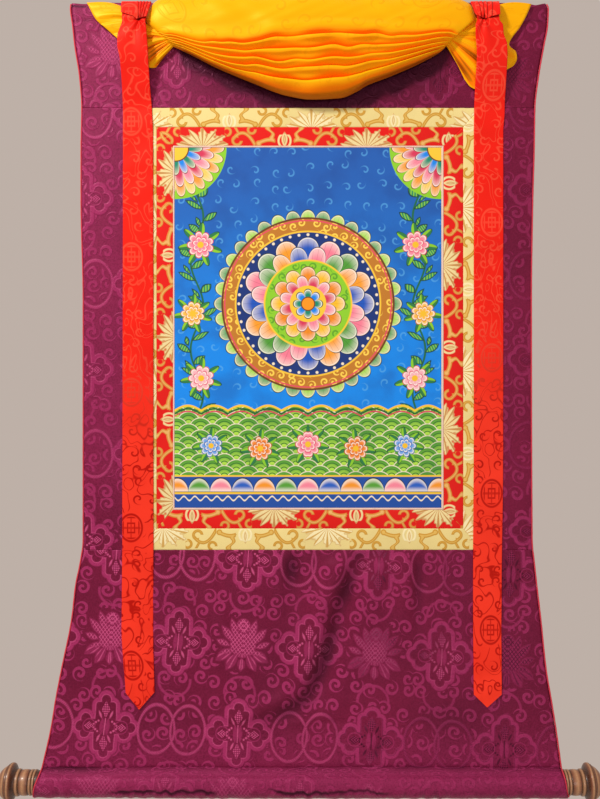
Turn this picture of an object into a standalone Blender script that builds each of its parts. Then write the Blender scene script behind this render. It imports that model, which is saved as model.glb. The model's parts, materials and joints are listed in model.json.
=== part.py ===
"""A thangka scroll painting: a painted canvas in brocade borders on a damask ground, with a gathered silk
cover, two ribbons and a roller rod with turned knobs. It hangs flat in front of a wall.

Tables are in millimetres: x to the right, drop below the top edge, and depth in front of the wall.
The built part is in metres, with Z up, the wall at Y = 0 and the front facing -Y.
"""

import math

import bmesh
import bpy
import numpy as np
from mathutils import Matrix, Vector

MM = 0.001

# Thicknesses of the cloths, and the gap left between pieces that meet
BROCADE_THICK = 1.6
CANVAS_THICK = 1.6
RIBBON_THICK = 1.2
SILK_THICK = 1.0
GAP = 0.3

# Outline of the ground: at each drop, where its left and right edges are
OUTLINE = [
    # drop, left, right
    (0, -338, 339),
    (8, -339, 343),
    (32, -336, 342),
    (60, -333, 337),
    (106, -326, 329),
    (150, -323, 324),
    (210, -324, 323),
    (281, -324, 321),
    (423, -321, 319),
    (765, -321, 320),
    (797, -325, 323),
    (828, -331, 326),
    (876, -336, 331),
    (947, -349, 337),
    (988, -356, 343),
    (1024, -361, 348),
    (1080, -373, 355),
]
TOP_SEAM = 150
LOW_SEAM = 779
CASING_SEAM = 1080

# Depth of the middle of the cloth in front of the wall, before its soft troughs
HANG = [
    # drop, depth
    (0, 5.0),
    (40, 5.0),
    (150, 4.6),
    (760, 4.6),
    (860, 8.5),
    (960, 17.0),
    (1040, 24.4),
    (1080, 26.4),
]

# Soft troughs that run down the lower panel, where the cloth leans back towards the wall
TROUGHS = [
    # x at the top, x at the bottom, half width, depth lost
    (-205, -150, 38, 2.4),
    (40, 66, 34, 3.2),
    (196, 150, 40, 2.2),
]
TROUGH_START = 790
TROUGH_FULL = 900
TROUGH_END = 1080

# Turned-over top hem, from its raw edge behind the panel to the panel's front
TOP_HEM = [
    # drop, depth
    (24.0, 1.9),
    (12.0, 1.9),
    (1.9, 1.9),
    (0.9, 2.7),
    (0.9, 4.2),
    (1.9, 5.0),
]
HEM_FRONT = 12

# Casing round the rod, below its seam: a roll with a tab that ends behind the panel
ROLL_DEPTH = 26.4
ROLL_DROP = 1099.5
ROLL_RADIUS = 19.3
ROLL_FIRST_DEG = 48
ROLL_LAST_DEG = 302
ROLL_STEPS = 13
TAB_DEPTH = 23.9
TAB_TOP = 1072
ROLL_EDGES = [
    # share of the way round, left, right
    (0.0, -374, 355),
    (0.2, -379, 357),
    (0.55, -383, 365),
    (0.8, -380, 362),
    (1.0, -374, 356),
]

PANEL_ROW = 25
EDGE_PIPING_WIDE = 2.0

# Borders, each a box of left, right, top drop and bottom drop
GOLD_BOX = (-242, 246, TOP_SEAM, LOW_SEAM)
RED_BOX = (-215.5, 221, 177.4, 748.6)
PIPING_BOX = (-192, 193, 203.9, 722)
PAINTING_BOX = (-190, 190, 206.3, 719.3)

# Ribbons: their edges down to the shoulders, then a point
RIBBON_LEFT = [
    # drop, left edge, right edge
    (3, -263, -221.5),
    (21, -261, -225),
    (34, -260.5, -228),
    (45, -264, -227),
    (57, -267, -226),
    (69, -267, -225),
    (87, -264, -224.5),
    (127, -263, -223.5),
    (154, -263, -222),
    (185, -263, -220.5),
    (880, -264, -219.5),
    (976, -256.5, -216),
]
RIBBON_LEFT_POINT = (-237, 1000)
RIBBON_RIGHT = [
    # drop, left edge, right edge
    (3, 229.5, 269.5),
    (20, 234, 268),
    (33, 237, 268),
    (41, 234.5, 272.5),
    (52, 234.5, 273.5),
    (67, 236, 278.5),
    (90, 237, 279.5),
    (125, 236.5, 279.5),
    (154, 236.5, 279.5),
    (185, 236, 277.5),
    (600, 236, 277.5),
    (979, 233, 272),
]
RIBBON_RIGHT_POINT = (251, 997)

# How far the middle of a ribbon stands in front of the ground's middle, and how deep its gathers are
RIBBON_LIFT = [
    # drop, lift, gather
    (3, 9.0, 1.0),
    (14, 16.0, 1.6),
    (33, 20.0, 2.4),
    (50, 21.0, 1.2),
    (75, 20.0, 0.3),
    (110, 12.0, 0.0),
    (154, 2.3, 0.0),
    (1100, 2.3, 0.0),
]
RIBBON_GATHERS = 2.5
RIBBON_COLUMNS = 7

# Cover: edges of its swag from the left pinch to the right one
SWAG_TOP = [
    # share across, x, drop
    (0.00, -226, 36),
    (0.03, -230, 26),
    (0.07, -223, 9),
    (0.12, -206, -3),
    (0.18, -172, -7),
    (0.33, -92, -10),
    (0.46, -30, -11),
    (0.55, 8, -11),
    (0.64, 50, -11),
    (0.73, 100, -10),
    (0.81, 146, -8),
    (0.90, 208, -3),
    (0.94, 232, 8),
    (0.97, 238, 26),
    (1.00, 224, 36),
]
SWAG_BOTTOM = [
    # share across, x, drop
    (0.00, -191, 65),
    (0.08, -165, 78),
    (0.18, -131, 96),
    (0.33, -80, 118),
    (0.46, -29, 137),
    (0.55, 5, 142),
    (0.64, 45, 140),
    (0.70, 70, 130),
    (0.73, 81, 123),
    (0.81, 116, 109),
    (0.90, 158, 90),
    (0.97, 187, 73),
    (1.00, 196, 64),
]

# Free edges of the cover beyond its pinches, from the hanging's corner down to the tail
FAN_LEFT = [
    # share down, x, drop
    (0.00, -314, 2),
    (0.16, -300, 27),
    (0.28, -289, 37),
    (0.42, -271, 53),
    (0.60, -255, 73),
    (0.78, -236, 89),
    (0.92, -223, 95),
    (1.00, -216, 94),
]
FAN_RIGHT = [
    # share down, x, drop
    (0.00, 317, 4),
    (0.12, 310, 20),
    (0.20, 302, 35),
    (0.32, 285, 62),
    (0.38, 295, 72),
    (0.44, 296, 82),
    (0.50, 292, 91),
    (0.56, 283, 97),
    (0.68, 269, 109),
    (0.80, 255, 119),
    (0.90, 241, 126),
    (0.96, 231, 122),
    (1.00, 222, 111),
]
FAN_BOW = 15

# Section of the cover from its top edge to its lower hem: the share of the height, and depths in front of
# the wall in the middle of the swag, at the pinches and at the free edges
COVER_SECTION = [
    # share down the sheet, share of height, depth in the middle, at a pinch, at a free edge
    (0.00, 0.05, 6.9, 6.9, 7.0),
    (0.06, 0.00, 15.0, 10.0, 8.8),
    (0.12, 0.07, 25.0, 12.0, 9.0),
    (0.20, 0.19, 32.0, 13.5, 9.4),
    (0.40, 0.43, 34.5, 16.5, 9.8),
    (0.60, 0.65, 33.5, 17.0, 9.8),
    (0.82, 0.86, 31.0, 14.5, 9.6),
    (0.92, 0.97, 26.0, 12.0, 9.4),
    (0.96, 1.00, 20.0, 10.5, 9.2),
    (1.00, 0.95, 14.0, 9.0, 9.0),
]

# Pleats: each has a ledge on its upper side and falls back below it
PLEATS = [
    # share down the sheet, how far forward as a share of PLEAT_DEPTH
    (0.00, 0.0),
    (0.06, 0.0),
    (0.12, 0.0),
    (0.20, -0.1),
    (0.25, 0.4),
    (0.33, -0.2),
    (0.37, 0.9),
    (0.45, -0.2),
    (0.48, 1.0),
    (0.56, -0.2),
    (0.59, 1.0),
    (0.64, 0.1),
    (0.67, 0.9),
    (0.75, -0.2),
    (0.78, 1.0),
    (0.86, 0.5),
    (0.92, 0.1),
    (0.96, 0.0),
    (1.00, 0.0),
]
PLEAT_DEPTH_MIDDLE = 6.0
PLEAT_DEPTH_PINCH = 2.2
PLEAT_DEPTH_EDGE = 2.0
SWAG_COLUMNS = 26
FAN_COLUMNS = 7
COVER_ROWS = [row[0] for row in PLEATS]

# Rod and knobs: the knob's rows start at its inner end, just inside the casing
ROD_RADIUS = 17.0
ROD_DROP = ROLL_DROP + 0.9
ROD_CENTRE_X = -11.4
ROD_HALF = 360.3
TENON_RADIUS = 9.0
TENON_LONG = 18
KNOB_PROFILE = [
    # distance outward, radius
    (0.0, 15.9),
    (7.4, 15.9),
    (8.0, 17.0),
    (11.0, 17.0),
    (11.8, 15.9),
    (12.6, 17.0),
    (15.6, 17.0),
    (16.4, 15.9),
    (17.4, 16.6),
    (23.0, 17.0),
    (28.8, 16.6),
    (29.6, 15.8),
    (30.6, 17.7),
    (34.8, 17.9),
    (37.4, 19.6),
    (39.6, 24.2),
    (41.2, 25.8),
    (44.4, 25.9),
    (45.2, 24.4),
    (46.8, 24.2),
    (47.6, 22.6),
    (51.0, 21.0),
    (54.6, 18.2),
    (58.0, 14.2),
    (60.6, 9.6),
    (61.8, 6.0),
    (64.4, 5.6),
    (66.4, 3.6),
]
ROUND_SIDES = 20


def column(rows, key, index):
    """The table's value in this column at key, between its rows in straight steps."""
    table = np.array(rows, float)
    return float(np.interp(key, table[:, 0], table[:, index]))


def ease(share):
    """0 to 1 with a soft start and end."""
    share = min(max(share, 0.0), 1.0)
    return share * share * (3 - 2 * share)


def cloth_depth(x, drop):
    """Depth of the middle of the flat cloths in front of the wall."""
    depth = column(HANG, drop, 1)
    down = (drop - TROUGH_START) / (TROUGH_END - TROUGH_START)
    strength = ease((drop - TROUGH_START) / (TROUGH_FULL - TROUGH_START))
    for x_top, x_bottom, half_width, lost in TROUGHS:
        off = (x - x_top - (x_bottom - x_top) * min(max(down, 0), 1)) / half_width
        depth -= lost * strength * math.exp(-off * off)
    return depth


def point(x, drop, depth):
    return Vector((x, -depth, -drop)) * MM


def material(name, colour, roughness, metallic=0.0):
    found = bpy.data.materials.new(name)
    found.use_nodes = True
    shader = found.node_tree.nodes["Principled BSDF"]
    shader.inputs["Base Color"].default_value = (*colour, 1)
    shader.inputs["Roughness"].default_value = roughness
    shader.inputs["Metallic"].default_value = metallic
    return found


def add_object(name, mesh_data, look):
    bmesh.ops.recalc_face_normals(mesh_data, faces=mesh_data.faces)
    mesh = bpy.data.meshes.new(name)
    mesh_data.to_mesh(mesh)
    mesh_data.free()
    mesh.materials.append(look)
    found = bpy.data.objects.new(name, mesh)
    bpy.context.scene.collection.objects.link(found)
    return found


def sheet(name, columns, rows, place, thick, look):
    """Cloth of this thickness, whose middle is a grid with corner (column, row) at place(column, row)."""
    mesh_data = bmesh.new()
    bmesh.ops.create_grid(mesh_data, x_segments=columns, y_segments=rows, size=0.5)
    for vert in mesh_data.verts:
        vert.co = place(round((vert.co.x + 0.5) * columns), round((vert.co.y + 0.5) * rows))
    found = add_object(name, mesh_data, look)
    solidify = found.modifiers.new("cloth thickness", "SOLIDIFY")
    solidify.thickness = thick * MM
    solidify.offset = 0
    return found


def row_drops(top, bottom):
    """Drops of a panel's rows, about PANEL_ROW apart."""
    count = max(1, round((bottom - top) / PANEL_ROW))
    return [top + (bottom - top) * i / count for i in range(count + 1)]


def flat_path(top, bottom):
    """Rows (drop, depth or None, left, right) down the flat ground. None means cloth_depth at each x."""
    return [(drop, None, column(OUTLINE, drop, 1), column(OUTLINE, drop, 2)) for drop in row_drops(top, bottom)]


def hem_path():
    """Rows of the top hem, from its raw edge behind, over the top edge."""
    return [(drop, depth, column(OUTLINE, drop, 1), column(OUTLINE, drop, 2)) for drop, depth in TOP_HEM]


def casing_path():
    """Rows of the casing, forward from its seam, down round the rod and up to the tab behind the panel."""
    rows = []
    for step in range(ROLL_STEPS + 1):
        share = step / ROLL_STEPS
        angle = math.radians(ROLL_FIRST_DEG + (ROLL_LAST_DEG - ROLL_FIRST_DEG) * share)
        drop = ROLL_DROP - ROLL_RADIUS * math.cos(angle)
        depth = ROLL_DEPTH + ROLL_RADIUS * math.sin(angle)
        rows.append((drop, depth, column(ROLL_EDGES, share, 1), column(ROLL_EDGES, share, 2)))
    left, right = ROLL_EDGES[-1][1:]
    rows.append((CASING_SEAM, TAB_DEPTH - 1, left, right))
    rows.append((TAB_TOP, TAB_DEPTH - 3, left, right))
    return rows


def path_sheet(name, path, columns, span, look):
    """Cloth that follows the rows of a path. span gives a row's left and right ends."""

    def place(i, j):
        drop, depth, _, _ = path[j]
        left, right = span(path[j])
        x = left + (right - left) * i / columns
        return point(x, drop, cloth_depth(x, drop) if depth is None else depth)

    return sheet(name, columns, len(path) - 1, place, BROCADE_THICK, look)


def make_ground(look):
    """Four damask panels inside the side piping."""
    inset = EDGE_PIPING_WIDE + GAP
    half = GAP / 2
    gold_left, gold_right = GOLD_BOX[:2]
    top = hem_path() + flat_path(HEM_FRONT, TOP_SEAM - half)
    sides = flat_path(TOP_SEAM + half, LOW_SEAM - half)
    bottom = flat_path(LOW_SEAM + half, CASING_SEAM) + casing_path()
    path_sheet("ground_top", top, 14, lambda row: (row[2] + inset, row[3] - inset), look)
    path_sheet("ground_left", sides, 2, lambda row: (row[2] + inset, gold_left - GAP), look)
    path_sheet("ground_right", sides, 2, lambda row: (gold_right + GAP, row[3] - inset), look)
    path_sheet("ground_bottom", bottom, 18, lambda row: (row[2] + inset, row[3] - inset), look)


def make_edge_piping(look):
    """Narrow piping down both side edges and round the ends of the casing."""
    half = GAP / 2
    path = hem_path()[-1:] + flat_path(HEM_FRONT, TOP_SEAM - half) + flat_path(TOP_SEAM + half, LOW_SEAM - half)
    path += flat_path(LOW_SEAM + half, CASING_SEAM) + casing_path()[:-2]
    path_sheet("edge_piping_left", path, 1, lambda row: (row[2], row[2] + EDGE_PIPING_WIDE), look)
    path_sheet("edge_piping_right", path, 1, lambda row: (row[3] - EDGE_PIPING_WIDE, row[3]), look)


def make_border(name, outer, inner, look):
    """Four mitred strips between two boxes of left, right, top and bottom."""
    half = GAP / 2
    corners = {
        "top": ((0, 2), (1, 2)),
        "bottom": ((0, 3), (1, 3)),
        "left": ((0, 2), (0, 3)),
        "right": ((1, 2), (1, 3)),
    }
    for side, (start, end) in corners.items():
        along = 0 if side in ("top", "bottom") else 1
        count = 10

        def place(i, j):
            spot = []
            for axis in (0, 1):
                ends = []
                for corner in (start, end):
                    index = corner[axis]
                    inward = 1 if index in (0, 2) else -1
                    low = outer[index] + inward * half
                    high = inner[index] - inward * half
                    ends.append(low + (high - low) * j)
                mitre = GAP * 0.75 if axis == along else 0
                spot.append(ends[0] + mitre + (ends[1] - ends[0] - 2 * mitre) * i / count)
            x, drop = spot
            return point(x, drop, cloth_depth(x, drop))

        sheet(f"{name}_{side}", count, 1, place, BROCADE_THICK, look)


def make_painting(look):
    left, right, top, bottom = PAINTING_BOX

    def place(i, j):
        x = left + GAP / 2 + (right - left - GAP) * i / 6
        drop = top + GAP / 2 + (bottom - top - GAP) * j / 10
        return point(x, drop, cloth_depth(x, drop))

    sheet("painting", 6, 10, place, CANVAS_THICK, look)


def make_ribbon(name, rows, tip, look):
    """A ribbon with gathers at its top, which lies on the panels and ends in a point."""
    shoulder = rows[-1][0]
    left_end, right_end = rows[-1][1:]
    drops = [3, 8, 14, 20, 27, 34, 41, 50, 60, 75, 92, 110, 130, 154]
    drops += [154 + (LOW_SEAM - 154) * k / 15 for k in range(1, 16)]
    drops += [LOW_SEAM + (shoulder - LOW_SEAM) * k / 8 for k in range(1, 9)]

    def place(i, j):
        across = i / RIBBON_COLUMNS
        if j < len(drops):
            drop = drops[j]
            left, right = column(rows, drop, 1), column(rows, drop, 2)
            x = left + (right - left) * across
        else:
            x = left_end + (right_end - left_end) * across
            run = (x - left_end) / (tip[0] - left_end) if x < tip[0] else (right_end - x) / (right_end - tip[0])
            drop = shoulder + 2 + (tip[1] - shoulder - 2) * run
        wave = math.sin(2 * math.pi * RIBBON_GATHERS * across + 0.6)
        lift = column(RIBBON_LIFT, drop, 1) + column(RIBBON_LIFT, drop, 2) * wave
        return point(x, drop, cloth_depth(x, drop) + lift)

    sheet(name, RIBBON_COLUMNS, len(drops), place, RIBBON_THICK, look)


def cover_spot(side, across, down):
    """x, drop and depth of the cover. side is -1 or 1 in a fan beyond a pinch, where across is 0 at the pinch
    and 1 at the free edge, and 0 in the swag, where across runs from the left pinch to the right one."""
    share = column(COVER_SECTION, down, 1)
    pinch = 0 if side < 0 else 1
    at = across if side == 0 else pinch
    upper = (column(SWAG_TOP, at, 1), column(SWAG_TOP, at, 2))
    lower = (column(SWAG_BOTTOM, at, 1), column(SWAG_BOTTOM, at, 2))
    x = upper[0] + (lower[0] - upper[0]) * share
    drop = upper[1] + (lower[1] - upper[1]) * share
    pinch_depth = column(COVER_SECTION, down, 3)
    wave = column(PLEATS, down, 1)
    if side == 0:
        open_share = math.sin(math.pi * across) ** 0.6
        other_depth, other_pleat = column(COVER_SECTION, down, 2), PLEAT_DEPTH_MIDDLE
    else:
        open_share = across
        free = FAN_LEFT if side < 0 else FAN_RIGHT
        bow = FAN_BOW * (1 - down) ** 2 * math.sin(math.pi * across)
        x += (column(free, down, 1) - x) * across
        drop += (column(free, down, 2) - drop) * across - bow
        other_depth, other_pleat = column(COVER_SECTION, down, 4), PLEAT_DEPTH_EDGE
    depth = pinch_depth + (other_depth - pinch_depth) * open_share
    pleat = PLEAT_DEPTH_PINCH + (other_pleat - PLEAT_DEPTH_PINCH) * open_share
    return x, drop, depth + pleat * wave


def make_cover(look):
    """One silk sheet: left corner and tail, left pinch, swag, right pinch, right tail and corner."""

    def place(i, j):
        down = COVER_ROWS[j]
        if i <= FAN_COLUMNS:
            return point(*cover_spot(-1, 1 - i / FAN_COLUMNS, down))
        if i >= FAN_COLUMNS + SWAG_COLUMNS:
            return point(*cover_spot(1, (i - FAN_COLUMNS - SWAG_COLUMNS) / FAN_COLUMNS, down))
        even = (i - FAN_COLUMNS) / SWAG_COLUMNS
        return point(*cover_spot(0, even, down))

    sheet("cover", 2 * FAN_COLUMNS + SWAG_COLUMNS, len(COVER_ROWS) - 1, place, SILK_THICK, look)


def turned(name, rows, look):
    """A solid turned about its own X axis from rows of (distance, radius) that start and end on the axis."""
    mesh_data = bmesh.new()
    verts = [mesh_data.verts.new((distance * MM, 0, radius * MM)) for distance, radius in rows]
    edges = [mesh_data.edges.new(pair) for pair in zip(verts, verts[1:])]
    bmesh.ops.spin(
        mesh_data,
        geom=verts + edges,
        cent=(0, 0, 0),
        axis=(1, 0, 0),
        angle=2 * math.pi,
        steps=ROUND_SIDES,
        use_merge=True,
    )
    bmesh.ops.remove_doubles(mesh_data, verts=mesh_data.verts, dist=1e-6)
    return add_object(name, mesh_data, look)


def make_rod(look):
    """The rod lies in the bottom of its casing and ends in a tenon at each side."""
    ends = [
        (-ROD_HALF - TENON_LONG, 0),
        (-ROD_HALF - TENON_LONG, TENON_RADIUS),
        (-ROD_HALF, TENON_RADIUS),
        (-ROD_HALF, ROD_RADIUS),
    ]
    rows = ends + [(-distance, radius) for distance, radius in reversed(ends)]
    rod = turned("rod", rows, look)
    rod.location = point(ROD_CENTRE_X, ROD_DROP, ROLL_DEPTH)


def make_knobs(look):
    """Two knobs, each bored to fit over the rod's tenon."""
    bore = TENON_RADIUS + GAP
    deep = TENON_LONG + GAP
    rows = [(deep, 0), (deep, bore), (0, bore)] + KNOB_PROFILE + [(KNOB_PROFILE[-1][0] + 0.8, 0)]
    for name, side, turn in (("finial_left", -1, math.pi), ("finial_right", 1, 0)):
        knob = turned(name, rows, look)
        knob.matrix_world = Matrix.Translation(
            point(ROD_CENTRE_X + side * (ROD_HALF + GAP), ROD_DROP, ROLL_DEPTH)
        ) @ Matrix.Rotation(turn, 4, "Z")


def main():
    for old in list(bpy.data.objects):
        bpy.data.objects.remove(old, do_unlink=True)
    damask = material("ground_damask", (0.20, 0.014, 0.075), 0.5)
    make_ground(damask)
    make_edge_piping(material("edge_piping", (0.66, 0.05, 0.08), 0.6))
    make_border("gold", GOLD_BOX, RED_BOX, material("gold_brocade", (0.90, 0.74, 0.38), 0.5))
    make_border("red", RED_BOX, PIPING_BOX, material("red_brocade", (0.80, 0.03, 0.03), 0.5))
    make_border("picture_piping", PIPING_BOX, PAINTING_BOX, material("picture_piping", (0.85, 0.70, 0.58), 0.6))
    make_painting(material("painted_canvas", (0.06, 0.28, 0.55), 0.7))
    ribbon_look = material("ribbon_silk", (0.90, 0.03, 0.015), 0.5)
    make_ribbon("ribbon_left", RIBBON_LEFT, RIBBON_LEFT_POINT, ribbon_look)
    make_ribbon("ribbon_right", RIBBON_RIGHT, RIBBON_RIGHT_POINT, ribbon_look)
    make_cover(material("cover_silk", (0.97, 0.50, 0.01), 0.4))
    make_rod(material("rod_wood", (0.35, 0.22, 0.12), 0.6))
    make_knobs(material("knob_wood", (0.30, 0.17, 0.09), 0.35))


main()
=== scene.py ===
"""The looks of a thangka scroll painting: damask ground, brocade borders, painted canvas, ribbons, a gathered
silk cover and turned knobs.

Tables are in millimetres: x to the right, drop below the top edge, and depth in front of the wall.
The made pieces are in metres, with Z up, the wall at Y = 0 and the front facing -Y.
"""

import json
import math
from functools import reduce

import bmesh
import bpy
import numpy as np
from bpy.props import FloatProperty, FloatVectorProperty, PointerProperty
from mathutils import Matrix, Vector

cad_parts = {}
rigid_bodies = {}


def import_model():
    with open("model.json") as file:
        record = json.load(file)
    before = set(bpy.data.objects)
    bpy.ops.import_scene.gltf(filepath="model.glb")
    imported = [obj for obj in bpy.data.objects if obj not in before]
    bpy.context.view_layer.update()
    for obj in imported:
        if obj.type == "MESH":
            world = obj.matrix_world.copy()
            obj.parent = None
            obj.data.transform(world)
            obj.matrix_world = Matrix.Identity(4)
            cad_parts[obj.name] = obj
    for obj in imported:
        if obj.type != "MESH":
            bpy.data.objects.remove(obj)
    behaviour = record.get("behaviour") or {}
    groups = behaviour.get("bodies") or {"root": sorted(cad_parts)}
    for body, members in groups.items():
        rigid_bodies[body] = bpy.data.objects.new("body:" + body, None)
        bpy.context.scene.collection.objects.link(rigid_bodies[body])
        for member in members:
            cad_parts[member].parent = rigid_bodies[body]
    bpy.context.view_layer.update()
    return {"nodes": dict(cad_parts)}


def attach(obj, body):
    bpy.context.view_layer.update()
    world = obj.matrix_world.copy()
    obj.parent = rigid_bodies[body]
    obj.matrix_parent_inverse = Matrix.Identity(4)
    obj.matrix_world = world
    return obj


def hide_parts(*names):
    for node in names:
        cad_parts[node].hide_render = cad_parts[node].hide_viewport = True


bl_info = {
    "name": "Thangka Scroll",
    "version": (1, 0, 0),
    "blender": (4, 5, 0),
    "location": "3D View > Sidebar > Scroll",
    "description": "Makes the cloths, painting and knobs of a hanging scroll",
    "category": "Add Mesh",
}

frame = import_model()

MM = 0.001

# Unit that the woven patterns are drawn in, in millimetres
PIXEL = 1.415

# Outline of the ground: at each drop, where its left and right edges are
OUTLINE = [
    (0, -338, 339), (8, -339, 343), (32, -336, 342), (60, -333, 337), (106, -326, 329), (150, -323, 324),
    (210, -324, 323), (281, -324, 321), (423, -321, 319), (765, -321, 320), (797, -325, 323),
    (828, -331, 326), (876, -336, 331), (947, -349, 337), (988, -356, 343), (1024, -361, 348),
    (1080, -373, 355),
]
TOP_SEAM = 150
LOW_SEAM = 779
CASING_SEAM = 1080
HEM_LINE = 25
HEM_FRONT = 12

# Depth of the middle of the cloth in front of the wall, before its soft troughs
HANG = [
    (0, 5.0), (40, 5.0), (150, 4.6), (760, 4.6), (860, 8.5), (960, 17.0), (1040, 24.4), (1080, 26.4),
]

# Soft troughs down the lower panel: x at the top, x at the bottom, half width, depth lost
TROUGHS = [
    (-205, -150, 38, 2.4), (40, 66, 34, 3.2), (196, 150, 40, 2.2),
]
TROUGH_START = 790
TROUGH_FULL = 900
TROUGH_END = 1080

# Path of the deep fold in the lower panel: drop, x
FOLD_PATH = [
    (768, 78), (831, 57), (881, 40), (930, 26), (980, 2), (1004, -26), (1016, -46),
]

# Casing round the rod
ROLL_DEPTH = 26.4
ROLL_DROP = 1099.5
ROLL_RADIUS = 19.3
ROLL_FIRST_DEG = 48
ROLL_LAST_DEG = 302
TAB_DEPTH = 23.9
TAB_TOP = 1072
ROLL_EDGES = [
    (0.0, -374, 355), (0.2, -379, 357), (0.55, -383, 365), (0.8, -380, 362), (1.0, -374, 356),
]
EDGE_PIPING_WIDE = 2.0

# Borders, each a box of left, right, top drop and bottom drop
SIDES = ("top", "bottom", "left", "right")
GOLD_BOX = (-242, 246, TOP_SEAM, LOW_SEAM)
RED_BOX = (-215.5, 221, 177.4, 748.6)
PIPING_BOX = (-192, 193, 203.9, 722)
PAINTING_BOX = (-190, 190, 206.3, 719.3)

# Ribbons: drop, left edge, right edge down to the shoulders, then a point. Flaps: share across, drop of the
# lower edge. Folds in a flap: x at its top, lean and strength. Weave: how far it is shifted aside and down
RIBBON_LEFT = [
    (3, -263, -221.5), (21, -261, -225), (34, -260.5, -228), (45, -264, -227), (57, -267, -226),
    (69, -267, -225), (87, -264, -224.5), (127, -263, -223.5), (154, -263, -222), (185, -263, -220.5),
    (880, -264, -219.5), (976, -256.5, -216),
]
RIBBON_LEFT_POINT = (-237, 1000)
RIBBON_LEFT_STITCH = (-237.5, 31)
RIBBON_LEFT_FLAP = [(0, 22.8), (0.3, 26.6), (0.5, 29.0), (0.62, 32.0), (0.74, 31.2), (1, 29.0)]
RIBBON_LEFT_FOLDS = [(-240, 0.05, 1.3), (-235.5, -0.02, 1.6), (-231, -0.12, 1.5), (-226.5, -0.2, 1.2)]
RIBBON_LEFT_WEAVE = (9.0, 0.0)
RIBBON_RIGHT = [
    (3, 229.5, 269.5), (20, 234, 268), (33, 237, 268), (41, 234.5, 272.5), (52, 234.5, 273.5),
    (67, 236, 278.5), (90, 237, 279.5), (125, 236.5, 279.5), (154, 236.5, 279.5), (185, 236, 277.5),
    (600, 236, 277.5), (979, 233, 272),
]
RIBBON_RIGHT_POINT = (251, 997)
RIBBON_RIGHT_STITCH = (246, 29)
RIBBON_RIGHT_FLAP = [(0, 27.0), (0.25, 30.2), (0.4, 31.4), (0.6, 29.6), (1, 26.0)]
RIBBON_RIGHT_FOLDS = [(238, 0.12, 1.2), (244, 0.05, 1.5), (250, -0.02, 1.0), (258, -0.1, 0.8)]
RIBBON_RIGHT_WEAVE = (-4.5, 49.0)
RIBBON_WIDE = 42

# How far the middle of a ribbon stands in front of the ground's middle
RIBBON_LIFT = [
    (3, 9.0), (14, 16.0), (33, 20.0), (50, 21.0), (75, 20.0), (110, 12.0), (154, 2.3), (1100, 2.3),
]

# Cover: share across, x, drop of the swag's edges from the left pinch to the right one
SWAG_TOP = [
    (0.00, -226, 36), (0.03, -230, 26), (0.07, -223, 9), (0.12, -206, -3), (0.18, -172, -7),
    (0.33, -92, -10), (0.46, -30, -11), (0.55, 8, -11), (0.64, 50, -11), (0.73, 100, -10), (0.81, 146, -8),
    (0.90, 208, -3), (0.94, 232, 8), (0.97, 238, 26), (1.00, 224, 36),
]
SWAG_BOTTOM = [
    (0.00, -191, 65), (0.08, -165, 78), (0.18, -131, 96), (0.33, -80, 118), (0.46, -29, 137),
    (0.55, 5, 142), (0.64, 45, 140), (0.70, 70, 130), (0.73, 81, 123), (0.81, 116, 109), (0.90, 158, 90),
    (0.97, 187, 73), (1.00, 196, 64),
]

# Free edges of the cover beyond its pinches: share down, x, drop
FAN_LEFT = [
    (0.00, -314, 2), (0.16, -300, 27), (0.28, -289, 37), (0.42, -271, 53), (0.60, -255, 73),
    (0.78, -236, 89), (0.92, -223, 95), (1.00, -216, 94),
]
FAN_RIGHT = [
    (0.00, 317, 4), (0.12, 310, 20), (0.20, 302, 35), (0.32, 285, 62), (0.38, 295, 72), (0.44, 296, 82),
    (0.50, 292, 91), (0.56, 283, 97), (0.68, 269, 109), (0.80, 255, 119), (0.90, 241, 126),
    (0.96, 231, 122), (1.00, 222, 111),
]
FAN_BOW = 15

# Crests of the pleats: share across, then the share of the swag's height for each crest from the top down
CRESTS = [
    (0.00, 0.40, 0.54, 0.67, 0.79, 0.90), (0.03, 0.62, 0.71, 0.79, 0.87, 0.94),
    (0.12, 0.74, 0.80, 0.855, 0.91, 0.955), (0.25, 0.665, 0.745, 0.83, 0.90, 0.95),
    (0.31, 0.640, 0.720, 0.80, 0.88, 0.935), (0.36, 0.595, 0.670, 0.76, 0.83, 0.905),
    (0.43, 0.500, 0.620, 0.73, 0.80, 0.890), (0.50, 0.475, 0.580, 0.69, 0.76, 0.870),
    (0.59, 0.440, 0.555, 0.665, 0.735, 0.845), (0.70, 0.480, 0.590, 0.69, 0.77, 0.865),
    (0.80, 0.560, 0.660, 0.75, 0.825, 0.890), (0.90, 0.600, 0.690, 0.77, 0.845, 0.910),
    (0.97, 0.58, 0.68, 0.77, 0.86, 0.93), (1.00, 0.40, 0.54, 0.67, 0.79, 0.90),
]

# Depth of the cover in front of the wall: share of height, in the middle, at a pinch, at a free edge
COVER_DEPTH = [
    (0.00, 15.0, 10.0, 8.8), (0.07, 25.0, 12.0, 9.0), (0.19, 32.0, 13.5, 9.4), (0.43, 34.5, 16.5, 9.8),
    (0.65, 34.0, 17.0, 9.8), (0.86, 31.5, 14.5, 9.6), (0.97, 25.0, 12.0, 9.4), (1.00, 19.0, 10.5, 9.2),
]

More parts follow.
